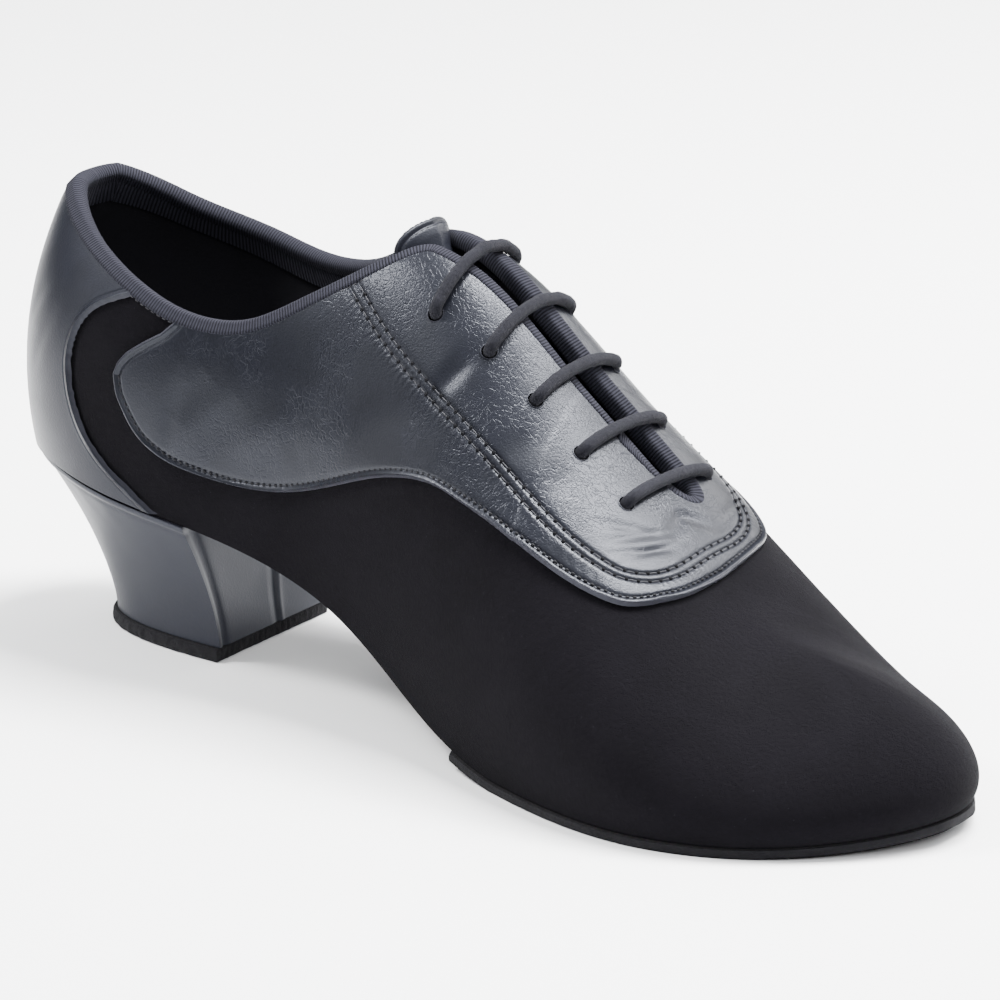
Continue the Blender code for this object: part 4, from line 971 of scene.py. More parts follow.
# %% Holes for the lace
LACE_THICK = 3.2 * MM
HOLE_PLACES = (0.475, 0.529, 0.575, 0.621, 0.667)   # shares of the length, from the top bar down
INNER_ROW = (-15.5 * MM, -14.0 * MM)   # row of holes beside the ridge of the foot: first and last hole
OUTER_ROW = (14.5 * MM, 18.5 * MM)
HOLE_RIM = LACE_THICK / 2 + 0.35 * MM  # radius of a hole
HOLE_REACH = 4 * MM          # points further over or under a hole's middle don't belong to it
RIM_CATCH = 1.9              # points within this many radii are pulled to the rim
HOLES = tuple((number, side) for number in range(1, len(HOLE_PLACES) + 1) for side in (-1, 1))


def hole_x(number):
    """Place of a pair of holes along the shoe."""
    return HOLE_PLACES[number - 1] * LENGTH - TIP_MIDDLE


def row_y(x, side):
    """Row of holes in plan: y at a given x."""
    row = INNER_ROW if side < 0 else OUTER_ROW
    return np.interp(x, (hole_x(1), hole_x(len(HOLE_PLACES))), row)


def hole_place(number, side):
    """Where a punched hole lies: its point on the skin and the outward normal."""
    turn, across = skin_below(hole_x(number), row_y(hole_x(number), side))
    return skin(turn, across), skin_normal(turn, across)


def open_holes(points, faces, height):
    """Opens the punched holes in a grid: faces inside go, and the rim is pulled into a circle."""
    flat = points.reshape(-1, 3).copy()
    faces = np.asarray(faces)
    inside = np.zeros(len(flat), bool)
    rims = []
    for hole in HOLES:
        place, normal = hole_place(*hole)
        centre = place + normal * height
        offset = flat - centre
        above = offset @ normal
        away = np.linalg.norm(offset - above[:, None] * normal, axis=1)
        inside |= (away < HOLE_RIM) & (np.abs(above) < HOLE_REACH)
        rims.append((centre, normal, away, above))
    kept = ~inside[faces].any(axis=1)
    lost = np.zeros(len(flat), bool)
    lost[faces[~kept].ravel()] = True
    edge = np.zeros(len(flat), bool)
    edge[faces[kept].ravel()] = True
    edge &= lost
    for centre, normal, away, above in rims:
        ring = edge & (away < HOLE_RIM * RIM_CATCH) & (np.abs(above) < HOLE_REACH)
        offset = flat[ring] - centre
        rise = (offset @ normal)[:, None] * normal
        spoke = offset - rise
        spoke *= (HOLE_RIM / np.maximum(np.linalg.norm(spoke, axis=1, keepdims=True), 1e-9))
        flat[ring] = centre + rise + spoke
    return flat, faces[kept]


print("holes:", len(HOLES))

# %% [markdown]
# ## Upper
# The suede shell is one piece of leather pulled over the last and turned in under the foot, with a fabric
# lining glued inside. A cloth simulation could pull it down, but suede that has been lasted follows the last
# closely, so the shell is a grid on the skin. It has the creases, a slight unevenness and a Solidify
# modifier, whose inner faces take the lining.

# %% Stations of the upper and its underside
UPPER_WALL = 1.8 * MM
SEAT_MARGIN = 12 * MM        # width of the upper turned in under the foot
WAIST_START = 0.235          # the turned-in upper closes from here to the next share of the length
WAIST_END = 0.57
UPPER_ROWS, UPPER_COLUMNS = 64, 330
UNDERSIDE_ROWS = 4


def dense_turns(count):
    """Stations from heel to toe, closer together at the collar's corner and the end of the throat."""
    fine = np.linspace(0, 1, 4001)
    corner = float(station_turn(0.42))
    density = 1 + 1.6 * bell(fine, corner, 0.03) + 2.5 * bell(fine, TURN_END, 0.02)
    walked = np.concatenate([[0], np.cumsum((density[1:] + density[:-1]) / 2)])
    turns = np.interp(np.linspace(0, walked[-1], count), walked, fine)
    turns[np.argmin(np.abs(turns - TURN_END))] = TURN_END
    return turns


def underside_opening(turn):
    """Half the opening left between the margins that are turned in under the foot."""
    share = station_share(turn)
    half = (section("inner", turn, -1) + section("outer", turn, -1)) / 2 * BALL_WIDTH - SEAT_MARGIN
    ends = np.minimum((WAIST_START - share) / WAIST_START, 1)
    fore = (share - WAIST_END) / (1 - WAIST_END)
    open_share = np.clip(np.maximum(ends, fore) * 8, 0, 1)
    return np.maximum(half, 0) * np.sqrt(open_share * (2 - open_share))


turns = dense_turns(UPPER_COLUMNS)
print("stations of the upper:", len(turns))

# %% Upper
points, faces, used = [], [], 0
for side in (-1, 1):
    edge = sole_edge(turns, side)
    middle = (sole_edge(turns, -1) + sole_edge(turns, 1)) / 2
    inner = middle + (0, side, 0) * underside_opening(turns)[:, None]
    blunt = inner[:, 0] > edge[-1, 0] - 2 * UPPER_WALL
    inner[blunt] = inner[~blunt][-1]
    margin = np.stack([inner + (edge - inner) * k / UNDERSIDE_ROWS for k in range(UNDERSIDE_ROWS)], 1)
    part = np.linspace(0, 1, UPPER_ROWS)[None, :]
    grid_turn = np.repeat(turns[:, None], UPPER_ROWS, 1)
    across = on_side(on_side(top_edge(turns, side), side)[:, None] * part, side)
    wall = skin(grid_turn, across)
    settled = np.sin(math.pi * np.clip(part, 0, 1)) ** 0.5
    uneven = crease_height(wall) * 0.8 + waves(wall, 0.05, 0.20 * MM, 1.0)
    wall = wall + skin_normal(grid_turn, across) * (uneven * settled)[..., None]
    grid = np.concatenate([margin, wall], 1)
    points.append(grid.reshape(-1, 3))
    faces.append(faces_of(*grid.shape[:2], flipped=side > 0, first=used))
    used += grid.shape[0] * grid.shape[1]
flat, kept = open_holes(np.concatenate(points), np.concatenate(faces), 0.0)
upper = new_piece("upper_suede", flat, kept, suede)
thicken(upper, UPPER_WALL, lining_cloth)
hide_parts("upper")
print("upper faces:", len(upper.data.polygons))

# %% [markdown]
# ## Leather saddle
# One leather panel lies over both sides of the shoe and round the front of the throat, stitched down along
# its edge. It could be cut out of the upper's faces and raised. It has a grid of its own instead, whose first
# and last rows are the cut edge and the top edge, so the edge is smooth at any angle. The edge is rounded
# down to the suede, and the seams sink into it.

# %% Table of the saddle
COVER_THICK = 1.0 * MM       # leather panels laid over the suede
COVER_GAP = 0.6 * MM         # under a panel that is laid over a curve
COVER_TOP = COVER_GAP + COVER_THICK
RIBBON_LEG = 2.5 * MM        # how far the ribbon comes down outside the edge
BELOW_RIBBON = RIBBON_LEG - 0.3 * MM
PANEL_FOOT = 0.42 * MM       # height of a panel's edge over the suede
PANEL_ROWS = 76
PANEL_COLUMNS = (300, 50)    # up to the end of the throat, and ahead of it

# Leather saddle. Shares of the way from the sole edge to the ridge. inner, outer: its lower edge on each
# side. high: its upper edge at the back, on both sides.
SADDLE_NAMES = ("station", "inner", "outer", "high")
SADDLE = (
    (0.166, 0.252, 0.252, 0.252),
    (0.169, 0.224, 0.224, 0.282),
    (0.176, 0.190, 0.190, 0.312),
    (0.190, 0.148, 0.148, 0.352),
    (0.205, 0.125, 0.125, 0.392),
    (0.219, 0.114, 0.114, 0.460),
    (0.248, 0.109, 0.109, 0.800),
    (0.290, 0.119, 0.119, 1.400),
    (0.353, 0.170, 0.170, 2.000),
    (0.401, 0.244, 0.244, 2.000),
    (0.451, 0.337, 0.337, 2.000),
    (0.487, 0.396, 0.396, 2.000),
    (0.521, 0.440, 0.440, 2.000),
    (0.556, 0.470, 0.466, 2.000),
    (0.600, 0.506, 0.494, 2.000),
    (0.650, 0.542, 0.524, 2.000),
    (0.694, 0.575, 0.562, 2.000),
    (0.726, 0.608, 0.604, 2.000),
    (0.755, 0.655, 0.662, 2.000),
    (0.781, 0.731, 0.752, 2.000),
    (0.807, 0.827, 0.856, 2.000),
    (0.828, 0.928, 0.942, 2.000),
    (SADDLE_FRONT, 1.000, 1.000, 2.000),
)


def inset_curve(side, distance):
    """The line on the skin at a distance below the top edge, as turns and across, in rising turn."""
    turn = TURN_END * np.sin(np.linspace(0, math.pi / 2, 700))
    across = top_edge(turn, side)
    steady = np.gradient(skin(turn, across), axis=0)
    steady[0], steady[-1] = (0, side, 0), (0, -side, 0)
    steady /= np.linalg.norm(steady, axis=1, keepdims=True)
    left = np.cross(skin_normal(turn, across), steady)
    moved_turn, moved_across = moved_on_skin(turn, across, left * side * distance)
    order = np.argsort(moved_turn)
    return moved_turn[order], moved_across[order], float(moved_turn.max())


saddle_stations = station_turn(column(SADDLE, SADDLE_NAMES, "station"))
closes = max(inset_curve(side, BELOW_RIBBON)[2] for side in (-1, 1))
panel_turns = np.concatenate([even_turns(float(saddle_stations[0]), closes, PANEL_COLUMNS[0]),
                              even_turns(closes, float(saddle_stations[-1]), PANEL_COLUMNS[1])[1:]])
print("stations of the saddle:", len(panel_turns))

# %% Places of the saddle's points
faces, used, lower_edges, upper_edges, panel_places, panel_normals = [], 0, [], [], [], []
for side in (-1, 1):
    known, heights, _ = inset_curve(side, BELOW_RIBBON)
    edge = np.interp(panel_turns, known, heights)
    edge = np.where(panel_turns >= closes - 1e-9, throat_line(panel_turns), edge)
    edge = on_side(edge, side)
    low = spline(saddle_stations, column(SADDLE, SADDLE_NAMES, "inner" if side < 0 else "outer"), panel_turns)
    high = np.interp(panel_turns, saddle_stations, column(SADDLE, SADDLE_NAMES, "high"))
    top = np.minimum(edge, high)
    bottom = np.minimum(low, top)
    part = np.linspace(0, 1, PANEL_ROWS)[None, :]
    across = on_side(bottom[:, None] + (top - bottom)[:, None] * part, side)
    grid_turn = np.repeat(panel_turns[:, None], PANEL_ROWS, 1)
    panel_places.append(skin(grid_turn, across))
    panel_normals.append(skin_normal(grid_turn, across))
    lower_edges.append((panel_turns, across[:, 0]))
    at_back = np.flatnonzero(high < edge)
    upper_edges.append((panel_turns[at_back], across[at_back, -1]))
    faces.append(faces_of(*grid_turn.shape, flipped=side > 0, first=used))
    used += grid_turn.size
rim = np.concatenate([skin(*curve) for curve in lower_edges + upper_edges])
print("cut edge of the saddle, mm:", [round(lengths(skin(*curve))[-1] * 1000) for curve in lower_edges])

# %% Saddle
saddle_edge, saddle_seam, saddle_along, saddle_points = [], [], [], []
for place, normal in zip(panel_places, panel_normals):
    edge, _ = nearest(place, rim)
    row, along = nearest(place, seam_path, seam_left)
    saddle_edge.append(edge)
    saddle_seam.append(row)
    saddle_along.append(along)
    rounded_off = rounded_edge(edge, 0.8 * MM)
    height = PANEL_FOOT + (COVER_TOP - PANEL_FOOT) * rounded_off
    height = height + 0.30 * MM * bell(edge, 0.75 * MM, 0.55 * MM)
    height = height - 0.22 * MM * bell(edge, 2.0 * MM, 0.6 * MM)
    sunk = 0.20 * MM * (bell(row, 0.0, 0.7 * MM) + bell(row, SEAM_SPREAD, 0.7 * MM))
    height = height + (crease_height(place) + waves(place, 0.035, 0.22 * MM, 1.0) - sunk) * rounded_off
    saddle_points.append((place + normal * height[..., None]).reshape(-1, 3))
flat, kept = open_holes(np.concatenate(saddle_points), np.concatenate(faces), COVER_TOP)
layers = {name: np.concatenate([v.ravel() for v in measured]) * 1000
          for name, measured in (("edge", saddle_edge), ("row", saddle_seam), ("along", saddle_along))}
quarter = new_piece("saddle", flat, kept, saddle_leather, layers)
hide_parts("quarter_panel")
print("saddle faces:", len(quarter.data.polygons))

# %% [markdown]
# ## Leather back
# A leather panel covers the back of the heel from the seat to the collar. Its edge is waisted, and a thin
# raised line, a piping, runs just inside it. A swept tube could stand for the piping, but it is a fold of the
# same leather, so it is a swelling in the grid's height.

# %% Leather back
# Leather back. up: share of the way from the sole edge to the collar. reach: share of LENGTH.
BACK_NAMES = ("up", "reach")
BACK = (
    (0.00, 0.213),
    (0.07, 0.183),
    (0.12, 0.161),
    (0.18, 0.142),
    (0.27, 0.127),
    (0.37, 0.119),
    (0.48, 0.115),
    (0.59, 0.116),
    (0.68, 0.120),
    (0.79, 0.130),
    (0.90, 0.146),
    (1.00, 0.162),
)
COUNTER_ROWS, COUNTER_COLUMNS = 70, 60
COUNTER_START = 0.015        # the panel starts at this share of the way up
ups = np.linspace(COUNTER_START, 1, COUNTER_ROWS)
reach = station_turn(spline(column(BACK, BACK_NAMES, "up"), column(BACK, BACK_NAMES, "reach"), ups))
points, faces, edges, used = [], [], [], 0
for side in (-1, 1):
    known, heights, _ = inset_curve(side, BELOW_RIBBON)
    grid_turn = np.linspace(0, 1, COUNTER_COLUMNS)[:, None] * reach[None, :]
    across = on_side(ups[None, :] * on_side(np.interp(grid_turn, known, heights), side), side)
    place, normal = skin(grid_turn, across), skin_normal(grid_turn, across)
    edge, _ = nearest(place, resampled(place[-1], 0.3 * MM))
    rounded_off = rounded_edge(edge, 0.9 * MM)
    piping = 0.30 * MM * bell(edge, 1.2 * MM, 0.65 * MM)
    height = PANEL_FOOT + (COVER_TOP - PANEL_FOOT) * rounded_off + piping
    height = height + (crease_height(place) + waves(place, 0.03, 0.12 * MM, 2.0)) * rounded_off
    points.append((place + normal * height[..., None]).reshape(-1, 3))
    edges.append(edge.ravel() * 1000)
    faces.append(faces_of(*grid_turn.shape, flipped=side > 0, first=used))
    used += grid_turn.size
counter = new_piece("counter", np.concatenate(points), np.concatenate(faces), counter_leather,
                    {"edge": np.concatenate(edges)})
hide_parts("counter_panel")
print("counter faces:", len(counter.data.polygons))

# %% [markdown]
# ## Ribbon on the top edge
# A woven tape is folded over the raw edge of suede and lining and stitched through, right round collar and
# throat. A curve with a bevel gives such a band quickly, but it twists where the edge turns. So a folded
# profile is laid square to the skin at each point of the edge, and its outer leg follows the skin. Behind it
# a flat tape covers the lining's edge inside the collar.

# %% The top edge as one loop
LOOP_COLUMNS = 520
BINDING_THICK = 0.9 * MM
INNER_LEG = 2.0 * MM         # how far the ribbon comes down inside the edge
LIFT = FIT_GAP + BINDING_THICK
UNDER = UPPER_WALL + 2 * FIT_GAP


def edge_loop(count):
    """The whole top edge: forward on the inner side, back on the outer side."""
    turn = dense_turns(count)
    turn = turn[turn <= TURN_END + 1e-9]
    inner, outer = top_edge(turn, -1), top_edge(turn, 1)
    return np.concatenate([turn, turn[-2:0:-1]]), np.concatenate([inner, outer[-2:0:-1]])


loop_turn, loop_across = edge_loop(LOOP_COLUMNS)
point = skin(loop_turn, loop_across)
way = np.roll(point, -1, axis=0) - np.roll(point, 1, axis=0)
for _ in range(3):
    way = (np.roll(way, 1, axis=0) + way * 2 + np.roll(way, -1, axis=0)) / 4
way /= np.linalg.norm(way, axis=-1, keepdims=True)
edge_normal = skin_normal(loop_turn, loop_across)
down = -np.cross(edge_normal, way)
walked = lengths(np.concatenate([point, point[:1]]))
print("top edge, mm:", round(walked[-1] * 1000))

# %% Ribbon
FOLD_FLAT = 0.62             # 1 is a round fold, less is flatter
reach_out = (LIFT + UNDER + BINDING_THICK) / 2
fold = [(-reach_out * FOLD_FLAT * math.cos(math.radians(angle)),
         (LIFT - UNDER - BINDING_THICK) / 2 + reach_out * math.sin(math.radians(angle)))
        for angle in np.linspace(90, -90, 11)]
# The folded profile, from the outer leg to the inner one: way down from the edge, and height over the skin.
profile = [(RIBBON_LEG, 0.6 * MM), (RIBBON_LEG + 0.05 * MM, LIFT * 1.25),
           (RIBBON_LEG - 0.3 * MM, LIFT * 1.52), (RIBBON_LEG - 0.9 * MM, LIFT * 1.42),
           (RIBBON_LEG * 0.45, LIFT * 1.30), *fold,
           (INNER_LEG, -UNDER - BINDING_THICK), (INNER_LEG, -UNDER + FIT_GAP)]
rows = []
for low, high in profile:
    turn, across = moved_on_skin(loop_turn, loop_across, down * max(low, 0.0))
    rows.append(off_skin(turn, across, np.full(turn.shape, high)) + down * min(low, 0.0))
grid = np.stack(rows, 1)
grid = np.concatenate([grid, grid[:1]], 0)
binding = new_piece("ribbon", grid, faces_of(*grid.shape[:2]), ribbon_cloth,
                    {"along": np.repeat(walked[:, None], grid.shape[1], 1) * 1000}, weld=False, sharp=70)
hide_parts("topline_binding")
print("ribbon faces:", len(binding.data.polygons))

# %% Tape inside the collar
TAPE_END = 0.455             # the tape stops at this share of the length on both sides
TAPE_PROFILE = ((1.6, -2.9), (2.6, -3.0), (5.5, -3.0), (8.6, -2.9), (9.0, -2.3))     # down and height, mm
collar_part = station_share(loop_turn) < TAPE_END
outer_half = np.arange(len(loop_turn)) > len(loop_turn) // 2
order = np.concatenate([np.flatnonzero(collar_part & outer_half), np.flatnonzero(collar_part & ~outer_half)])
rows = []
for low, high in TAPE_PROFILE:
    turn, across = moved_on_skin(loop_turn[order], loop_across[order], down[order] * low * MM)
    rows.append(off_skin(turn, across, np.full(turn.shape, high * MM)))
grid = np.stack(rows, 1)
tape = new_piece("collar_tape", grid, faces_of(*grid.shape[:2]), tape_cloth,
                 {"along": np.repeat(lengths(grid[:, 0])[:, None], grid.shape[1], 1) * 1000}, weld=False)
print("tape faces:", len(tape.data.polygons))

# %% [markdown]
# ## Tongue
# The tongue is soft leather under the facings, sewn in at the front of the throat. Its free top stands up
# behind the top bar of the lace and has a stitched edge. It could be a cloth sheet, pinned at the front and
# pressed from above by the lace. A table of how wide and how high it is at each station gives the one still
# shape that the photograph shows, and gives it again at each run.

# %% Table of the tongue
RUN_GAP = 0.9 * MM           # over and under a lace that runs inside the upper
TONGUE_THICK = 1.6 * MM
TONGUE_WIDTH = 44 * MM
TONGUE_RISE = 9.5 * MM       # how far its free top stands up in the middle
TONGUE_SEAM = 1.9 * MM       # stitches run this far inside its edge

# Tongue, from its free top to the vamp. half: share of half its width. aside: beside the middle of the
# throat, and rise: of its middle, as shares of TONGUE_RISE. drop: share of the room for the lace.
TONGUE_NAMES = ("station", "half", "aside", "rise", "drop")
TONGUE = (
    (0.394, 0.35, -0.20, 0.88, 0.55),
    (0.397, 0.40, -0.20, 0.85, 0.55),
    (0.402, 0.44, -0.20, 0.75, 0.55),
    (0.409, 0.46, -0.18, 0.56, 0.58),
    (0.417, 0.55, -0.14, 0.30, 0.68),
    (0.429, 0.70, -0.08, 0.06, 0.88),
    (0.445, 0.87, -0.03, 0.00, 1.00),
    (0.474, 1.00, 0.00, 0.00, 1.00),
    (0.520, 1.00, 0.00, 0.00, 1.00),
    (0.570, 1.00, 0.00, 0.00, 1.00),
    (0.620, 1.00, 0.00, 0.00, 1.00),
    (0.670, 0.96, 0.00, 0.00, 1.00),
    (0.710, 0.88, 0.00, 0.00, 1.00),
    (0.745, 0.80, 0.00, 0.00, 0.70),
    (0.780, 0.70, 0.00, 0.00, 0.15),
    (0.810, 0.60, 0.00, 0.00, 0.00),
)


def run_depth():
    """Middle of a lace that lies against the inside of the upper."""
    return UPPER_WALL + RUN_GAP + LACE_THICK / 2


knots = station_turn(column(TONGUE, TONGUE_NAMES, "station"))
TONGUE_ROWS, TONGUE_ACROSS = 220, 81
walk = np.linspace(0, 1, TONGUE_ROWS) ** 1.25
tongue_turns = knots[0] + (knots[-1] - knots[0]) * walk


def tongue_column(name):
    """A column of TONGUE at the tongue's own stations."""
    return np.interp(tongue_turns, knots, column(TONGUE, TONGUE_NAMES, name))


print("tongue, stations:", TONGUE_ROWS, "widest, mm:", TONGUE_WIDTH * 1000)

# %% Tongue
sides = np.sin(np.linspace(-1, 1, TONGUE_ACROSS) * math.pi / 2)
half = (tongue_column("half") + 0.16 * tongue_column("rise"))[:, None] * TONGUE_WIDTH / 2
grid_turn = np.repeat(tongue_turns[:, None], TONGUE_ACROSS, 1)
across = beside_throat(grid_turn, tongue_column("aside")[:, None] * TONGUE_RISE + half * sides)
seat = UPPER_WALL + FIT_GAP * 2
room = run_depth() + LACE_THICK / 2 + RUN_GAP
rise = tongue_column("rise")[:, None] * TONGUE_RISE
stands = tongue_column("rise")[:, None]
dome = np.maximum(1 - np.abs(sides) ** (2 + 6 * stands ** 2), 0) ** (2 - 1.6 * stands)
height = rise * dome - seat - (room - seat) * tongue_column("drop")[:, None]
grid = off_skin(grid_turn, across, height)
border = np.concatenate([grid[::-1, 0], grid[0], grid[:, -1]])
border_edge, _ = nearest(grid, resampled(border, 0.4 * MM))
pressed = bell(border_edge, 2.0 * MM, 0.5 * MM)
swell = rounded_edge(border_edge, 0.9 * MM) - 1
tongue_normal = skin_normal(grid_turn, across)
grid = grid + tongue_normal * (swell * 0.7 * MM - pressed * 0.25 * MM
                               + waves(grid, 0.022, 0.20 * MM, 3.0))[..., None]
grid_of_tongue = grid
tongue = new_piece("tongue_leather", grid, faces_of(*grid.shape[:2]), counter_leather,
                   {"edge": border_edge * 1000}, weld=False)
thicken(tongue, TONGUE_THICK * 0.7, lining_cloth)
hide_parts("tongue")
print("tongue faces:", len(tongue.data.polygons))

# %% [markdown]
# ## Lace
# One round cotton lace makes five straight bars over the throat, from hole to hole, and runs along the inside
# of the facings between them. A curve object with a round bevel would do for a plain cord. The real one is a
# woolly braid, so the cord is swept as a mesh, and its radius swells with the braid and with a little fluff.
# The path is the solid's own: corner points, rounded at the holes, then smoothed.

# %% Points of the lace
LACE_BEND = 2.0 * MM         # radius of the lace where it turns into a hole
RUN_SHIFT = 4.0 * MM         # a hidden run steps this far aside to pass a hole
BAR_STEPS = 5                # straight pieces in a bar
RUN_STEP = 4.6 * MM          # length of the straight pieces in a hidden run
LOOSE_END = 7 * MM           # length of each hidden end


def lace_point(x, y, height):
    """Point of the lace at a place in plan and a height over the skin."""
    turn, across = skin_below(x, y)
    return off_skin(turn, across, np.asarray(height))


def bar(number, from_side):
    """Corner points of one bar over the throat, from hole to hole."""
    height = COVER_TOP + FIT_GAP + LACE_THICK / 2
    x = hole_x(number)
    ends = row_y(x, from_side), row_y(x, -from_side)
    return [lace_point(x, y, height) for y in np.linspace(*ends, BAR_STEPS + 1)]


def hidden(start, end, side, shift=0.0):
    """Corner points of a hidden stretch along a row of holes; it steps aside by a shift on the way."""
    steps = max(2, int(abs(end - start) / RUN_STEP))
    points = []
    for part in np.linspace(0, 1, steps + 1):
        x = start + (end - start) * part
        points.append(lace_point(x, row_y(x, side) + side * shift * math.sin(math.pi * part), -run_depth()))
    return points


def run(first, last, side, shift=0.0):
    """Hidden run along one row of holes, from hole to hole."""
    return hidden(hole_x(first), hole_x(last), side, shift)


def loose_end(number, side, shift):
    """Hidden end, which stops a little behind its hole."""
    points = []
    for part in (0, 0.5, 1):
        x = hole_x(number) - LOOSE_END * part
        points.append(lace_point(x, row_y(x, side) + side * shift * part, -run_depth()))
    return points


def lace_corners():
    """Corner points of the whole lace, from one hidden end to the other."""
    inner_end = (loose_end(2, -1, RUN_SHIFT)[::-1] + bar(2, -1) + run(2, 4, 1, RUN_SHIFT)
                 + bar(4, 1) + run(4, 5, -1))
    outer_end = (bar(5, -1) + run(5, 3, 1, -RUN_SHIFT) + bar(3, 1) + run(3, 1, -1, -RUN_SHIFT)
                 + bar(1, -1) + loose_end(1, 1, 0.0))
    return np.array(inner_end + outer_end)


corners = lace_corners()
print("corner points of the lace:", len(corners))

# %% Path of the lace
ARC_STEP = 36                # degrees turned by one straight piece of an arc
PATH_STEP = 0.5 * MM


def rounded(corners, radius, least_turn=25):
    """A polyline whose sharp corners are turned into arcs."""
    points = [corners[0]]
    for k in range(1, len(corners) - 1):
        back = corners[k - 1] - corners[k]
        on = corners[k + 1] - corners[k]
        reach = min(np.linalg.norm(back), np.linalg.norm(on))
        back, on = back / np.linalg.norm(back), on / np.linalg.norm(on)
        turned = math.pi - math.acos(float(np.clip(np.dot(back, on), -1, 1)))
        if turned < math.radians(least_turn):
            points.append(corners[k])
            continue
        trim = min(radius * math.tan(turned / 2), 0.49 * reach)
        bend = trim / math.tan(turned / 2)
        inward = (back + on) / np.linalg.norm(back + on)
        centre = corners[k] + inward * bend / math.cos(turned / 2)
        start = corners[k] + back * trim - centre
        axis_x = start / np.linalg.norm(start)
        finish = corners[k] + on * trim - centre
        axis_y = finish - axis_x * np.dot(finish, axis_x)
        axis_y /= np.linalg.norm(axis_y)
        count = max(2, int(math.degrees(turned) / ARC_STEP))
        for step in range(count + 1):
            angle = turned * step / count
            points.append(centre + bend * (axis_x * math.cos(angle) + axis_y * math.sin(angle)))
    points.append(corners[-1])
    return np.array(points)


def smoothed(path, times):
    """A path whose points are drawn towards their neighbours, in place; its ends stay."""
    for _ in range(times):
        path[1:-1] = (path[:-2] + 2 * path[1:-1] + path[2:]) / 4
    return path


path = smoothed(resampled(rounded(corners, LACE_BEND), PATH_STEP), 6)
walked = lengths(path)
print("lace, mm:", round(walked[-1] * 1000))

# %% Lace
AROUND = 28                  # points round the lace
BRAID_TURN = 7.0 * MM        # a strand of the braid goes once round in this length
BRAID_STRANDS = 4            # in each direction
BRAID_DEPTH, WOOL_DEPTH = 0.055 * MM, 0.12 * MM
way = np.gradient(path, axis=0)
way /= np.linalg.norm(way, axis=1, keepdims=True)
side_way = np.empty_like(way)
held = np.cross(way[0], (0, 0, 1.0))
for k, direction in enumerate(way):
    held = held - direction * np.dot(held, direction)
    held /= np.linalg.norm(held)
    side_way[k] = held
other_way = np.cross(way, side_way)
angles = np.arange(AROUND) * math.tau / AROUND
turning = angles[None, :] + walked[:, None] * (math.tau / BRAID_TURN)
counter_turning = angles[None, :] - walked[:, None] * (math.tau / BRAID_TURN)
braid = np.maximum(np.sin(turning * BRAID_STRANDS), np.sin(counter_turning * BRAID_STRANDS)) * BRAID_DEPTH
round_it = path[:, None] + side_way[:, None] * 0.002 * np.cos(angles)[None, :, None]
wool = waves(round_it, 0.0031, WOOL_DEPTH, 5.0)
radius = LACE_THICK / 2 - 0.05 * MM + braid + wool
grid = (path[:, None] + side_way[:, None] * (np.cos(angles)[None, :, None] * radius[..., None])
        + other_way[:, None] * (np.sin(angles)[None, :, None] * radius[..., None]))
faces = faces_of(*grid.shape[:2], flipped=True, closed=True).tolist()
faces.append(list(range(AROUND)))
faces.append(list(range(grid.shape[0] * AROUND - 1, (grid.shape[0] - 1) * AROUND - 1, -1)))
lace = new_piece("lace_cord", grid, faces, lace_cotton, weld=False)
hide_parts("lace")
print("lace faces:", len(lace.data.polygons))

# %% [markdown]
# ## Walls of the holes
# A punched hole shows the thickness of the leather and a lip that the lace has pressed in. The panel's grid
# is only a surface there, so a Solidify modifier could give it that wall. It would double every face of the
# saddle for ten small holes. A short turned sleeve in each hole does the same with a few hundred faces.

# %% Walls and rims of the holes
RIM_STEPS = 32               # points round a hole
RIM_PROFILE = ((0.60, -0.04), (0.35, 0.03), (0.12, 0.02), (-0.02, -0.12), (-0.10, -0.5), (-0.05, -2.2),
               (-0.05, -3.4))           # out from the rim in half millimetres, and height in millimetres
round_hole = np.arange(RIM_STEPS) * math.tau / RIM_STEPS
points, faces, used = [], [], 0
for hole in HOLES:
    place, normal = hole_place(*hole)
    first_way = np.cross(normal, (1.0, 0.0, 0.0))
    first_way /= np.linalg.norm(first_way)
    second_way = np.cross(normal, first_way)
    ring = np.cos(round_hole)[:, None] * first_way
    ring = ring + np.sin(round_hole)[:, None] * second_way
    grid = np.stack([place + ring * (HOLE_RIM + out_by * 0.5 * MM) + normal * (COVER_TOP + above * MM)
                     for out_by, above in RIM_PROFILE], 0)
    points.append(grid.reshape(-1, 3))
    faces.append(faces_of(*grid.shape[:2], flipped=True, first=used, closed=True))
    used += grid.shape[0] * grid.shape[1]
# The rims have no edge layer, so the counter leather gives them its paler edge colour all over: the same
# painted highlight.
rims = new_piece("hole_rims", np.concatenate(points), np.concatenate(faces), counter_leather, weld=False)
print("rims:", len(points))

# %% [markdown]
# ## Stitches
# A machine seam is a row of short threads that dip into a needle hole at both ends. A bump could draw them,
# but the double seam is the clearest line on the shoe and has to catch the light, so each stitch is a small
# bead of real geometry, laid along a curve on the skin.

# %% Beads of thread
BEAD_SIDES = 6
BEAD = ((-1, 0.15, 1.0), (-0.75, 0.8, 0.45), (0, 1.0, 0.0), (0.75, 0.8, 0.45), (1, 0.15, 1.0))
BEAD_DIP = 0.6               # how deep its ends dip, as a share of its thickness


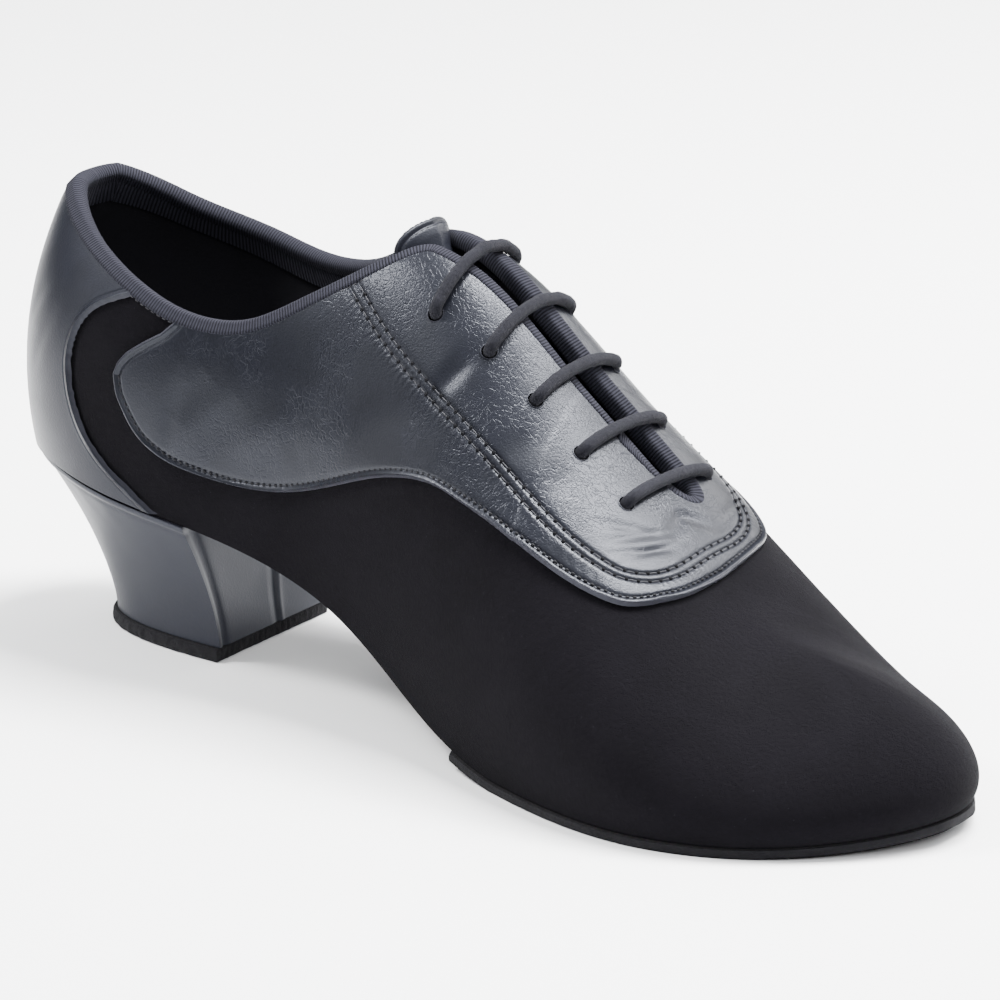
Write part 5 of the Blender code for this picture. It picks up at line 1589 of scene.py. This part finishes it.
def stitches(name, curves, material):
    """Beads of thread. Each curve: its points and normals, then the stitches' pitch, length and thickness."""
    points, faces, used = [], [], 0
    ring = np.arange(BEAD_SIDES) * math.tau / BEAD_SIDES
    for centre, normal, pitch, length, thick in curves:
        walked = lengths(centre)
        at = np.arange(pitch / 2, walked[-1], pitch)
        spots = np.stack([np.interp(at, walked, centre[:, k]) for k in range(3)], 1)
        normals = np.stack([np.interp(at, walked, normal[:, k]) for k in range(3)], 1)
        ways = np.stack([np.interp(at, walked, np.gradient(centre[:, k], walked)) for k in range(3)], 1)
        ways /= np.maximum(np.linalg.norm(ways, axis=1, keepdims=True), 1e-9)
        left = np.cross(normals, ways)
        for spot, out_way, on, aside in zip(spots, normals, ways, left):
            grid = []
            for part, girth, dip in BEAD:
                middle = spot + on * part * length / 2 - out_way * dip * thick * BEAD_DIP
                grid.append(middle + (np.cos(ring)[:, None] * aside + np.sin(ring)[:, None] * out_way)
                            * girth * thick / 2)
            points.append(np.array(grid).reshape(-1, 3))
            faces.append(faces_of(len(BEAD), BEAD_SIDES, flipped=True, first=used, closed=True))
            used += len(BEAD) * BEAD_SIDES
    return new_piece(name, np.concatenate(points), np.concatenate(faces), material, weld=False, sharp=80)


def on_skin(turn, across, height):
    """Points and normals of a seam at a height over the skin."""
    return off_skin(turn, across, np.full(np.shape(turn), height)), skin_normal(turn, across)


edge_curves = []
for (turn, across), way_in in zip(lower_edges, (1, -1)):
    turn, across = beside_curve(turn, across, way_in * 2.0 * MM)
    edge_curves.append((*on_skin(turn, across, COVER_TOP - 0.10 * MM), 1.8 * MM, 1.2 * MM, 0.62 * MM))
edge_thread = stitches("edge_stitches", edge_curves, dark_thread)
print("stitches along the cut edge:", len(edge_thread.data.vertices) // (len(BEAD) * BEAD_SIDES))

# %% The double seam
ROW_PITCH = 3.0 * MM
row_curves, hole_shade_curves = [], []
for distance in (0.0, SEAM_SPREAD):
    turn, across = beside_curve(seam_turn, seam_across, distance)
    row_curves.append((*on_skin(turn, across, COVER_TOP - 0.14 * MM), ROW_PITCH, 2.4 * MM, 0.30 * MM))
    # Halfway between the stitches of each row, nearly black beads paint the shade of the needle holes.
    walked = lengths(skin(turn, across))
    turn = np.interp(walked + ROW_PITCH / 2, walked, turn)
    across = np.interp(walked + ROW_PITCH / 2, walked, across)
    hole_shade_curves.append((*on_skin(turn, across, COVER_TOP - 0.13 * MM), ROW_PITCH, 1.15 * MM, 1.0 * MM))
row_thread = stitches("row_stitches", row_curves, thread)
stitches("row_needle_hole_shade", hole_shade_curves, needle_hole_shade)
print("stitches of the double seam:", len(row_thread.data.vertices) // (len(BEAD) * BEAD_SIDES))

# %% Seams of the ribbon and the tongue
RIBBON_SEAMS = ((2.75, 1.45, 1.9), (2.4, -2.62, 2.2))      # down, height and pitch, mm: outside and inside
ribbon_curves = []
for low, high, pitch in RIBBON_SEAMS:
    turn, across = moved_on_skin(loop_turn, loop_across, down * low * MM)
    ribbon_curves.append((*on_skin(turn, across, high * MM), pitch * MM, 1.2 * MM, 0.3 * MM))
stitches("ribbon_stitches", ribbon_curves, thread)
middle = TONGUE_ACROSS // 2
top_row = int(np.argmax(border_edge[:, middle] > TONGUE_SEAM))
low_rows = np.arange(TONGUE_ROWS * 3 // 5, top_row + 3, -1)
left_column = np.argmin(np.abs(border_edge[low_rows, :middle] - TONGUE_SEAM), axis=1)
right_column = middle + np.argmin(np.abs(border_edge[low_rows, middle:] - TONGUE_SEAM), axis=1)
over_top = np.arange(left_column[-1] + 2, right_column[-1] - 1)
rows_of_seam = np.concatenate([low_rows, np.full(len(over_top), top_row), low_rows[::-1]])
columns_of_seam = np.concatenate([left_column, over_top, right_column[::-1]])
tongue_line = smoothed(grid_of_tongue[rows_of_seam, columns_of_seam], 12)
stitches("tongue_stitches", [(tongue_line, tongue_normal[rows_of_seam, columns_of_seam],
                              2.0 * MM, 1.3 * MM, 0.36 * MM)], dark_thread)
print("seam of the tongue, mm:", round(lengths(tongue_line)[-1] * 1000))

# %% [markdown]
# ## Insole and forepart sole
# A dance shoe has a split sole: only the forepart is soled, with thin suede that is cut a little larger than
# the upper, and the arch is left bare so that it can bend. Inside lies a sock. Both are sheets on the bottom
# profile of the last. Displacing a plain plate would blunt the cut edge of the sole, so its rim is a strip of
# its own, with a ragged line where the knife went through the nap.

# %% The bottom profile
INSOLE_THICK = 2.0 * MM
INSOLE_INSET = 3.0 * MM
SOLE_START = 0.565           # back end of the forepart sole
SOLE_BOW = 0.03              # how far its middle reaches back, as a share of the length
SOLE_MARGIN = 0.5 * MM       # sole beyond the upper's edge
PROFILE_STEP = 0.5 * MM      # half the step that the profile's slope is taken over


def outline_point(turn, side, outset):
    """Point of the sole edge moved outward in plan; the height is that of the skin at its new place."""
    turn = np.asarray(turn, float)
    way = sole_edge(turn + TINY_TURN, side) - sole_edge(turn - TINY_TURN, side)
    out = np.stack([way[..., 1], -way[..., 0]], -1) * -side
    out /= np.linalg.norm(out, axis=-1, keepdims=True)
    plan = sole_edge(turn, side)[..., :2] + out * outset
    height = sole_height(station_turn((plan[..., 0] + TIP_MIDDLE) / LENGTH))
    return np.concatenate([plan, height[..., None]], -1)


def on_profile(plan, height):
    """Lays points in plan on the bottom profile of the foot, then moves them square to it by a height."""
    def level(x):
        return sole_height(station_turn((x + TIP_MIDDLE) / LENGTH))
    small = PROFILE_STEP
    slope = (level(plan[..., 0] + small) - level(plan[..., 0] - small)) / (2 * small)
    tilt = np.sqrt(1 + slope ** 2)
    return np.stack([plan[..., 0] - slope / tilt * height, plan[..., 1],
                     level(plan[..., 0]) + height / tilt], -1)


def ladder(turns, outset, columns):
    """Plan of the foot between its two edges; each row goes straight from side to side."""
    inner, outer = outline_point(turns, -1, outset), outline_point(turns, 1, outset)
    parts = np.linspace(0, 1, columns)[None, :, None]
    return inner[:, None] * (1 - parts) + outer[:, None] * parts


grid = on_profile(ladder(np.linspace(0.0, 1.0, 120), -INSOLE_INSET, 25), UPPER_WALL + FIT_GAP + INSOLE_THICK)
insole = new_piece("sock", grid, faces_of(*grid.shape[:2]), lining_cloth)
thicken(insole, INSOLE_THICK)
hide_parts("insole")
print("sock faces:", len(insole.data.polygons))

# %% Plan of the forepart sole
SOLE_ROWS, SOLE_COLUMNS = 150, 41
RIM_OF_SOLE = ((0.0, -0.5), (0.08, 0.0), (0.5, 0.12), (0.92, 0.0), (1.0, -0.5))  # share down, and out in mm
start = float(station_turn(SOLE_START))
turns = start + (1 - start) * np.linspace(0, 1, SOLE_ROWS)
plan = ladder(turns, SOLE_MARGIN, SOLE_COLUMNS)
part = np.linspace(-1, 1, SOLE_COLUMNS)
fade = np.clip(1 - np.linspace(0, 1, SOLE_ROWS) * 4, 0, 1)
plan[..., 0] -= SOLE_BOW * LENGTH * (1 - part ** 2)[None, :] * fade[:, None]
boundary = np.concatenate([plan[:, 0], plan[-1, 1:], plan[-2::-1, -1], plan[0, -2:0:-1]])
ragged = waves(boundary, 0.0017, 0.22 * MM, 4.0) + waves(boundary, 0.006, 0.15 * MM, 2.0)
middle_point = plan.reshape(-1, 3).mean(0)
outward_way = boundary - middle_point
outward_way[:, 2] = 0
outward_way /= np.linalg.norm(outward_way, axis=1, keepdims=True)
print("edge of the sole, mm:", round(lengths(boundary)[-1] * 1000))

# %% Forepart sole
ring_rows = []
for down_by, out_by in RIM_OF_SOLE:
    out_to = ragged * (1 - abs(2 * down_by - 1)) + out_by * MM
    ring_rows.append(on_profile(boundary + outward_way * out_to[:, None], -FIT_GAP - SOLE_THICK * down_by))
ring_grid = np.stack(ring_rows, 1)
top_face, bottom_face = on_profile(plan, -FIT_GAP), on_profile(plan, -FIT_GAP - SOLE_THICK)
count = plan.shape[0] * plan.shape[1]
flat = np.concatenate([top_face.reshape(-1, 3), bottom_face.reshape(-1, 3), ring_grid.reshape(-1, 3)])
around, steps = ring_grid.shape[:2]
closed_ring = faces_of(steps, around, closed=True)
closed_ring = (closed_ring % around) * steps + closed_ring // around + 2 * count
faces = np.concatenate([faces_of(*plan.shape[:2]), faces_of(*plan.shape[:2], flipped=True, first=count),
                        closed_ring])
outsole = new_piece("forepart_sole", flat, faces, buffed_sole, weld=False)
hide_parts("outsole")
print("sole faces:", len(outsole.data.polygons))

# %% [markdown]
# ## Covered heel
# A Cuban heel is a block with straight-looking sides that draw in below the seat and a hollow front, the
# breast. Thin leather is stretched over it, tucked under a rand at the top and lapped in the breast, where
# the fold shows as a line. It could be a bevelled box with a lattice. Level rings between the outline of the
# slab and that of the seat give the same form and leave room for the tucks.

# %% Rings of the heel
HEEL_MARGIN = 0.6 * MM       # cover of the heel beyond the upper's edge
HEEL_HOLLOW = 1.4 * MM       # depth of the hollow breast
HEEL_PINCH = 1.55            # 1 is a straight heel, more draws it in sooner below the seat
TIP_THICK = 3.5 * MM
TIP_WIDTH = 45.4 * MM
TIP_MARGIN = 1.3 * MM        # slab beyond the covered heel
TIP_SQUARE = 0.75            # 1 is an ellipse, less is squarer at the back
BREAST_STEPS = 42


def heel_outline(width, length, breast, count):
    """Plan of the heel's foot: squarish at the back and straight at the breast. From inside to outside."""
    angles = np.linspace(-math.pi / 2, math.pi / 2, count)
    back = np.maximum(np.cos(angles), 0) ** TIP_SQUARE
    side = np.sign(np.sin(angles)) * np.abs(np.sin(angles)) ** TIP_SQUARE
    return np.stack([breast - length * back, width / 2 * side], -1)


def heel_ring(up, seat, foot, low):
    """One level ring of the covered heel: its curved side, then its hollow breast with lap and fold."""
    drawn = up ** HEEL_PINCH
    ring = np.empty((len(foot), 3))
    ring[:, :2] = foot * (1 - drawn) + seat[:, :2] * drawn
    ring[:, 2] = low + (seat[:, 2] - low) * up
    part = np.linspace(1, -1, BREAST_STEPS)[1:-1]
    breast = ring[-1] * (1 + part[:, None]) / 2 + ring[0] * (1 - part[:, None]) / 2
    breast[:, 0] -= HEEL_HOLLOW * (1 - part ** 2) * 4 * up * (1 - up)
    groove = bell(part, 0.10, 0.030) * 0.8 - bell(part, 0.17, 0.035) * 0.35
    fold_line = bell(part, -0.90, 0.035) * 0.6
    breast[:, 0] -= (groove * min(1, 4 * (1 - up)) + fold_line) * MM
    return np.concatenate([ring, breast])


HEEL_COUNT, HEEL_LEVELS = 121, 60
foot = heel_outline(TIP_WIDTH - 2 * TIP_MARGIN, TIP_LENGTH - TIP_MARGIN, BREAST_AHEAD, HEEL_COUNT)
walk = np.linspace(-1, 1, HEEL_COUNT)
turns = float(station_turn(HEEL_BREAST)) * np.abs(walk)
seat = np.where((walk < 0)[:, None], outline_point(turns, -1, HEEL_MARGIN),
                outline_point(turns, 1, HEEL_MARGIN))
seat[:, 2] -= FIT_GAP
low = TIP_THICK + FIT_GAP
rings = np.stack([heel_ring(k / HEEL_LEVELS, seat, foot, low) for k in range(HEEL_LEVELS + 1)])
print("heel, rings:", len(rings), "height at the back, mm:", round(float(np.ptp(rings[..., 2])) * 1000, 1))

# %% Heel
RAND, RAND_GROOVE, TUCKS = 0.55 * MM, 0.30 * MM, 0.05 * MM      # out, in, and depth
centre = rings[:, :, :2].mean(axis=1, keepdims=True)
out_way = rings[:, :, :2] - centre
out_way /= np.linalg.norm(out_way, axis=-1, keepdims=True)
up = np.linspace(0, 1, HEEL_LEVELS + 1)[:, None]
total = rings.shape[1]
curved_side = (np.arange(total) < HEEL_COUNT)[None, :]
rand = np.sqrt(np.clip(1 - ((up - 0.972) / 0.028) ** 2, 0, 1)) * RAND
under_rand = -bell(up, 0.932, 0.014) * RAND_GROOVE
gathered = bell(up, 0.84, 0.07) * np.sin(np.arange(total) * 0.9)[None, :] * TUCKS
wrinkled = waves(rings, 0.016, 0.12 * MM, 1.5)
rings[:, :, :2] += out_way * ((rand + under_rand + gathered) * curved_side + wrinkled * (1 - up))[..., None]
faces = faces_of(*rings.shape[:2], flipped=True, closed=True).tolist()
faces.append(list(range(total)))
faces.append(list(range((HEEL_LEVELS + 1) * total - 1, HEEL_LEVELS * total - 1, -1)))
heel = new_piece("covered_heel", rings, faces, heel_leather, weld=False, sharp=60)
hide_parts("heel_block")
print("heel faces:", len(heel.data.polygons))

# %% [markdown]
# ## Slab of the heel
# Under the heel lies a slab of brushed suede leather, cut out by hand and frayed along its edge. A texture
# could fray it, but its edge stands dark against the pale floor, so the outline itself is uneven, with two
# waves of different size that fade out towards its top and bottom face.

# %% Slab
SLAB_PROFILE = ((1.0, -1.6), (0.985, -0.45), (0.8, -0.1), (0.55, 0.0), (0.3, -0.05), (0.08, -0.15),
                (0.0, -0.8))            # share of its height, and out in mm
SLAB_STEPS = (260, 120)      # points of its curved side and of its straight front
outline = heel_outline(TIP_WIDTH, TIP_LENGTH, BREAST_AHEAD, SLAB_STEPS[0])
breast_line = np.linspace(outline[-1], outline[0], SLAB_STEPS[1])[1:-1]
outline = np.concatenate([outline, breast_line])
out_way = outline - outline.mean(0)
out_way /= np.linalg.norm(out_way, axis=1, keepdims=True)
rows = []
for share_up, out_by in SLAB_PROFILE:
    level = np.concatenate([outline, np.full((len(outline), 1), TIP_THICK * share_up)], 1)
    rough = waves(level, 0.0021, 0.30 * MM, 3.0) + waves(level, 0.0008, 0.16 * MM, 6.0)
    frayed = rough * min(1.0, 6 * share_up * (1 - share_up) + 0.1)
    level[:, :2] += out_way * (out_by * MM + frayed - 0.1 * MM)[:, None]
    rows.append(level)
grid = np.stack(rows, 0)
total = grid.shape[1]
faces = faces_of(*grid.shape[:2], closed=True).tolist()
faces.append(list(range(total)))
faces.append(list(range(len(rows) * total - 1, (len(rows) - 1) * total - 1, -1)))
slab = new_piece("heel_slab", grid, faces, buffed_sole, weld=False)
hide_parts("heel_top_piece")
print("slab faces:", len(slab.data.polygons))

# %% [markdown]
# ## Stage
# The photograph is a studio shot on white, with soft lights. A bright sky picture could light the shoe, but
# black leather shows nothing except what it reflects, so each highlight in the photograph has its own lamp:
# one over the toe side of the facings, one whose image runs along the throat, one for the collar, and weak
# fills for the sides. A sky that fades to dark at the horizon keeps the leather black between them.

# %% Lamps
def lamp(name, place, aim, size, power):
    """A soft square light that looks at a point."""
    light = bpy.data.lights.new(name, "AREA")
    light.shape = "RECTANGLE"
    light.size, light.size_y = size
    light.energy = power
    made = bpy.data.objects.new(name, light)
    bpy.context.scene.collection.objects.link(made)
    made.location = place
    made.rotation_euler = (Vector(aim) - Vector(place)).to_track_quat("-Z", "Y").to_euler()
    return made


lamps = (
    lamp("top_light", (0.20, 0.36, 1.20), (0.11, 0.0, 0.05), (0.34, 0.50), 70.0),
    lamp("throat_light", (0.56, 0.58, 1.00), (0.13, 0.0, 0.06), (0.36, 0.46), 36.0),
    lamp("shoulder_light", (-0.58, -0.42, 0.98), (0.06, 0.0, 0.06), (0.26, 0.34), 22.0),
    lamp("front_fill", (0.95, -0.95, 0.75), (0.10, 0.0, 0.05), (0.5, 0.4), 7.0),
    lamp("left_fill", (-0.74, -0.70, 0.42), (0.02, 0.0, 0.05), (0.40, 0.6), 3.6),
    lamp("back_rim", (0.50, 1.05, 0.55), (0.12, 0.0, 0.06), (1.2, 0.5), 16.0),
)
print("lamps:", len(lamps))

# %% Sky
world = bpy.data.worlds.new("studio")
world.use_nodes = True
sky = Graph(world.node_tree)
direction = sky.add("ShaderNodeTexCoord").outputs["Generated"]
height_of_sky = sky.add("ShaderNodeSeparateXYZ", {0: direction}).outputs["Z"]
brightness = sky.add("ShaderNodeMapRange", {"Value": height_of_sky, "From Min": 0.1, "From Max": 0.9,
                                            "To Min": 0.08, "To Max": 1.7}, interpolation_type="SMOOTHSTEP")
sky_light = world.node_tree.nodes["Background"]
sky_light.inputs["Color"].default_value = (0.95, 0.97, 1.0, 1)
world.node_tree.links.new(brightness.outputs["Result"], sky_light.inputs["Strength"])
bpy.context.scene.world = world
print("sky nodes:", len(world.node_tree.nodes))

# %% Floor
FLOOR_HALF = 6               # m
paper = bpy.data.materials.new("pale_floor")
paper.use_nodes = True
paper_shader = paper.node_tree.nodes["Principled BSDF"]
paper_shader.inputs["Base Color"].default_value = (0.93, 0.93, 0.93, 1)
paper_shader.inputs["Roughness"].default_value = 0.45
floor_mesh = bpy.data.meshes.new("floor")
floor_mesh.from_pydata([(x * FLOOR_HALF, y * FLOOR_HALF, 0) for x, y in ((-1, -1), (1, -1), (1, 1), (-1, 1))],
                       [], [(0, 1, 2, 3)])
floor_mesh.materials.append(paper)
floor = bpy.data.objects.new("floor", floor_mesh)
bpy.context.scene.collection.objects.link(floor)
print("floor, m:", 2 * FLOOR_HALF)
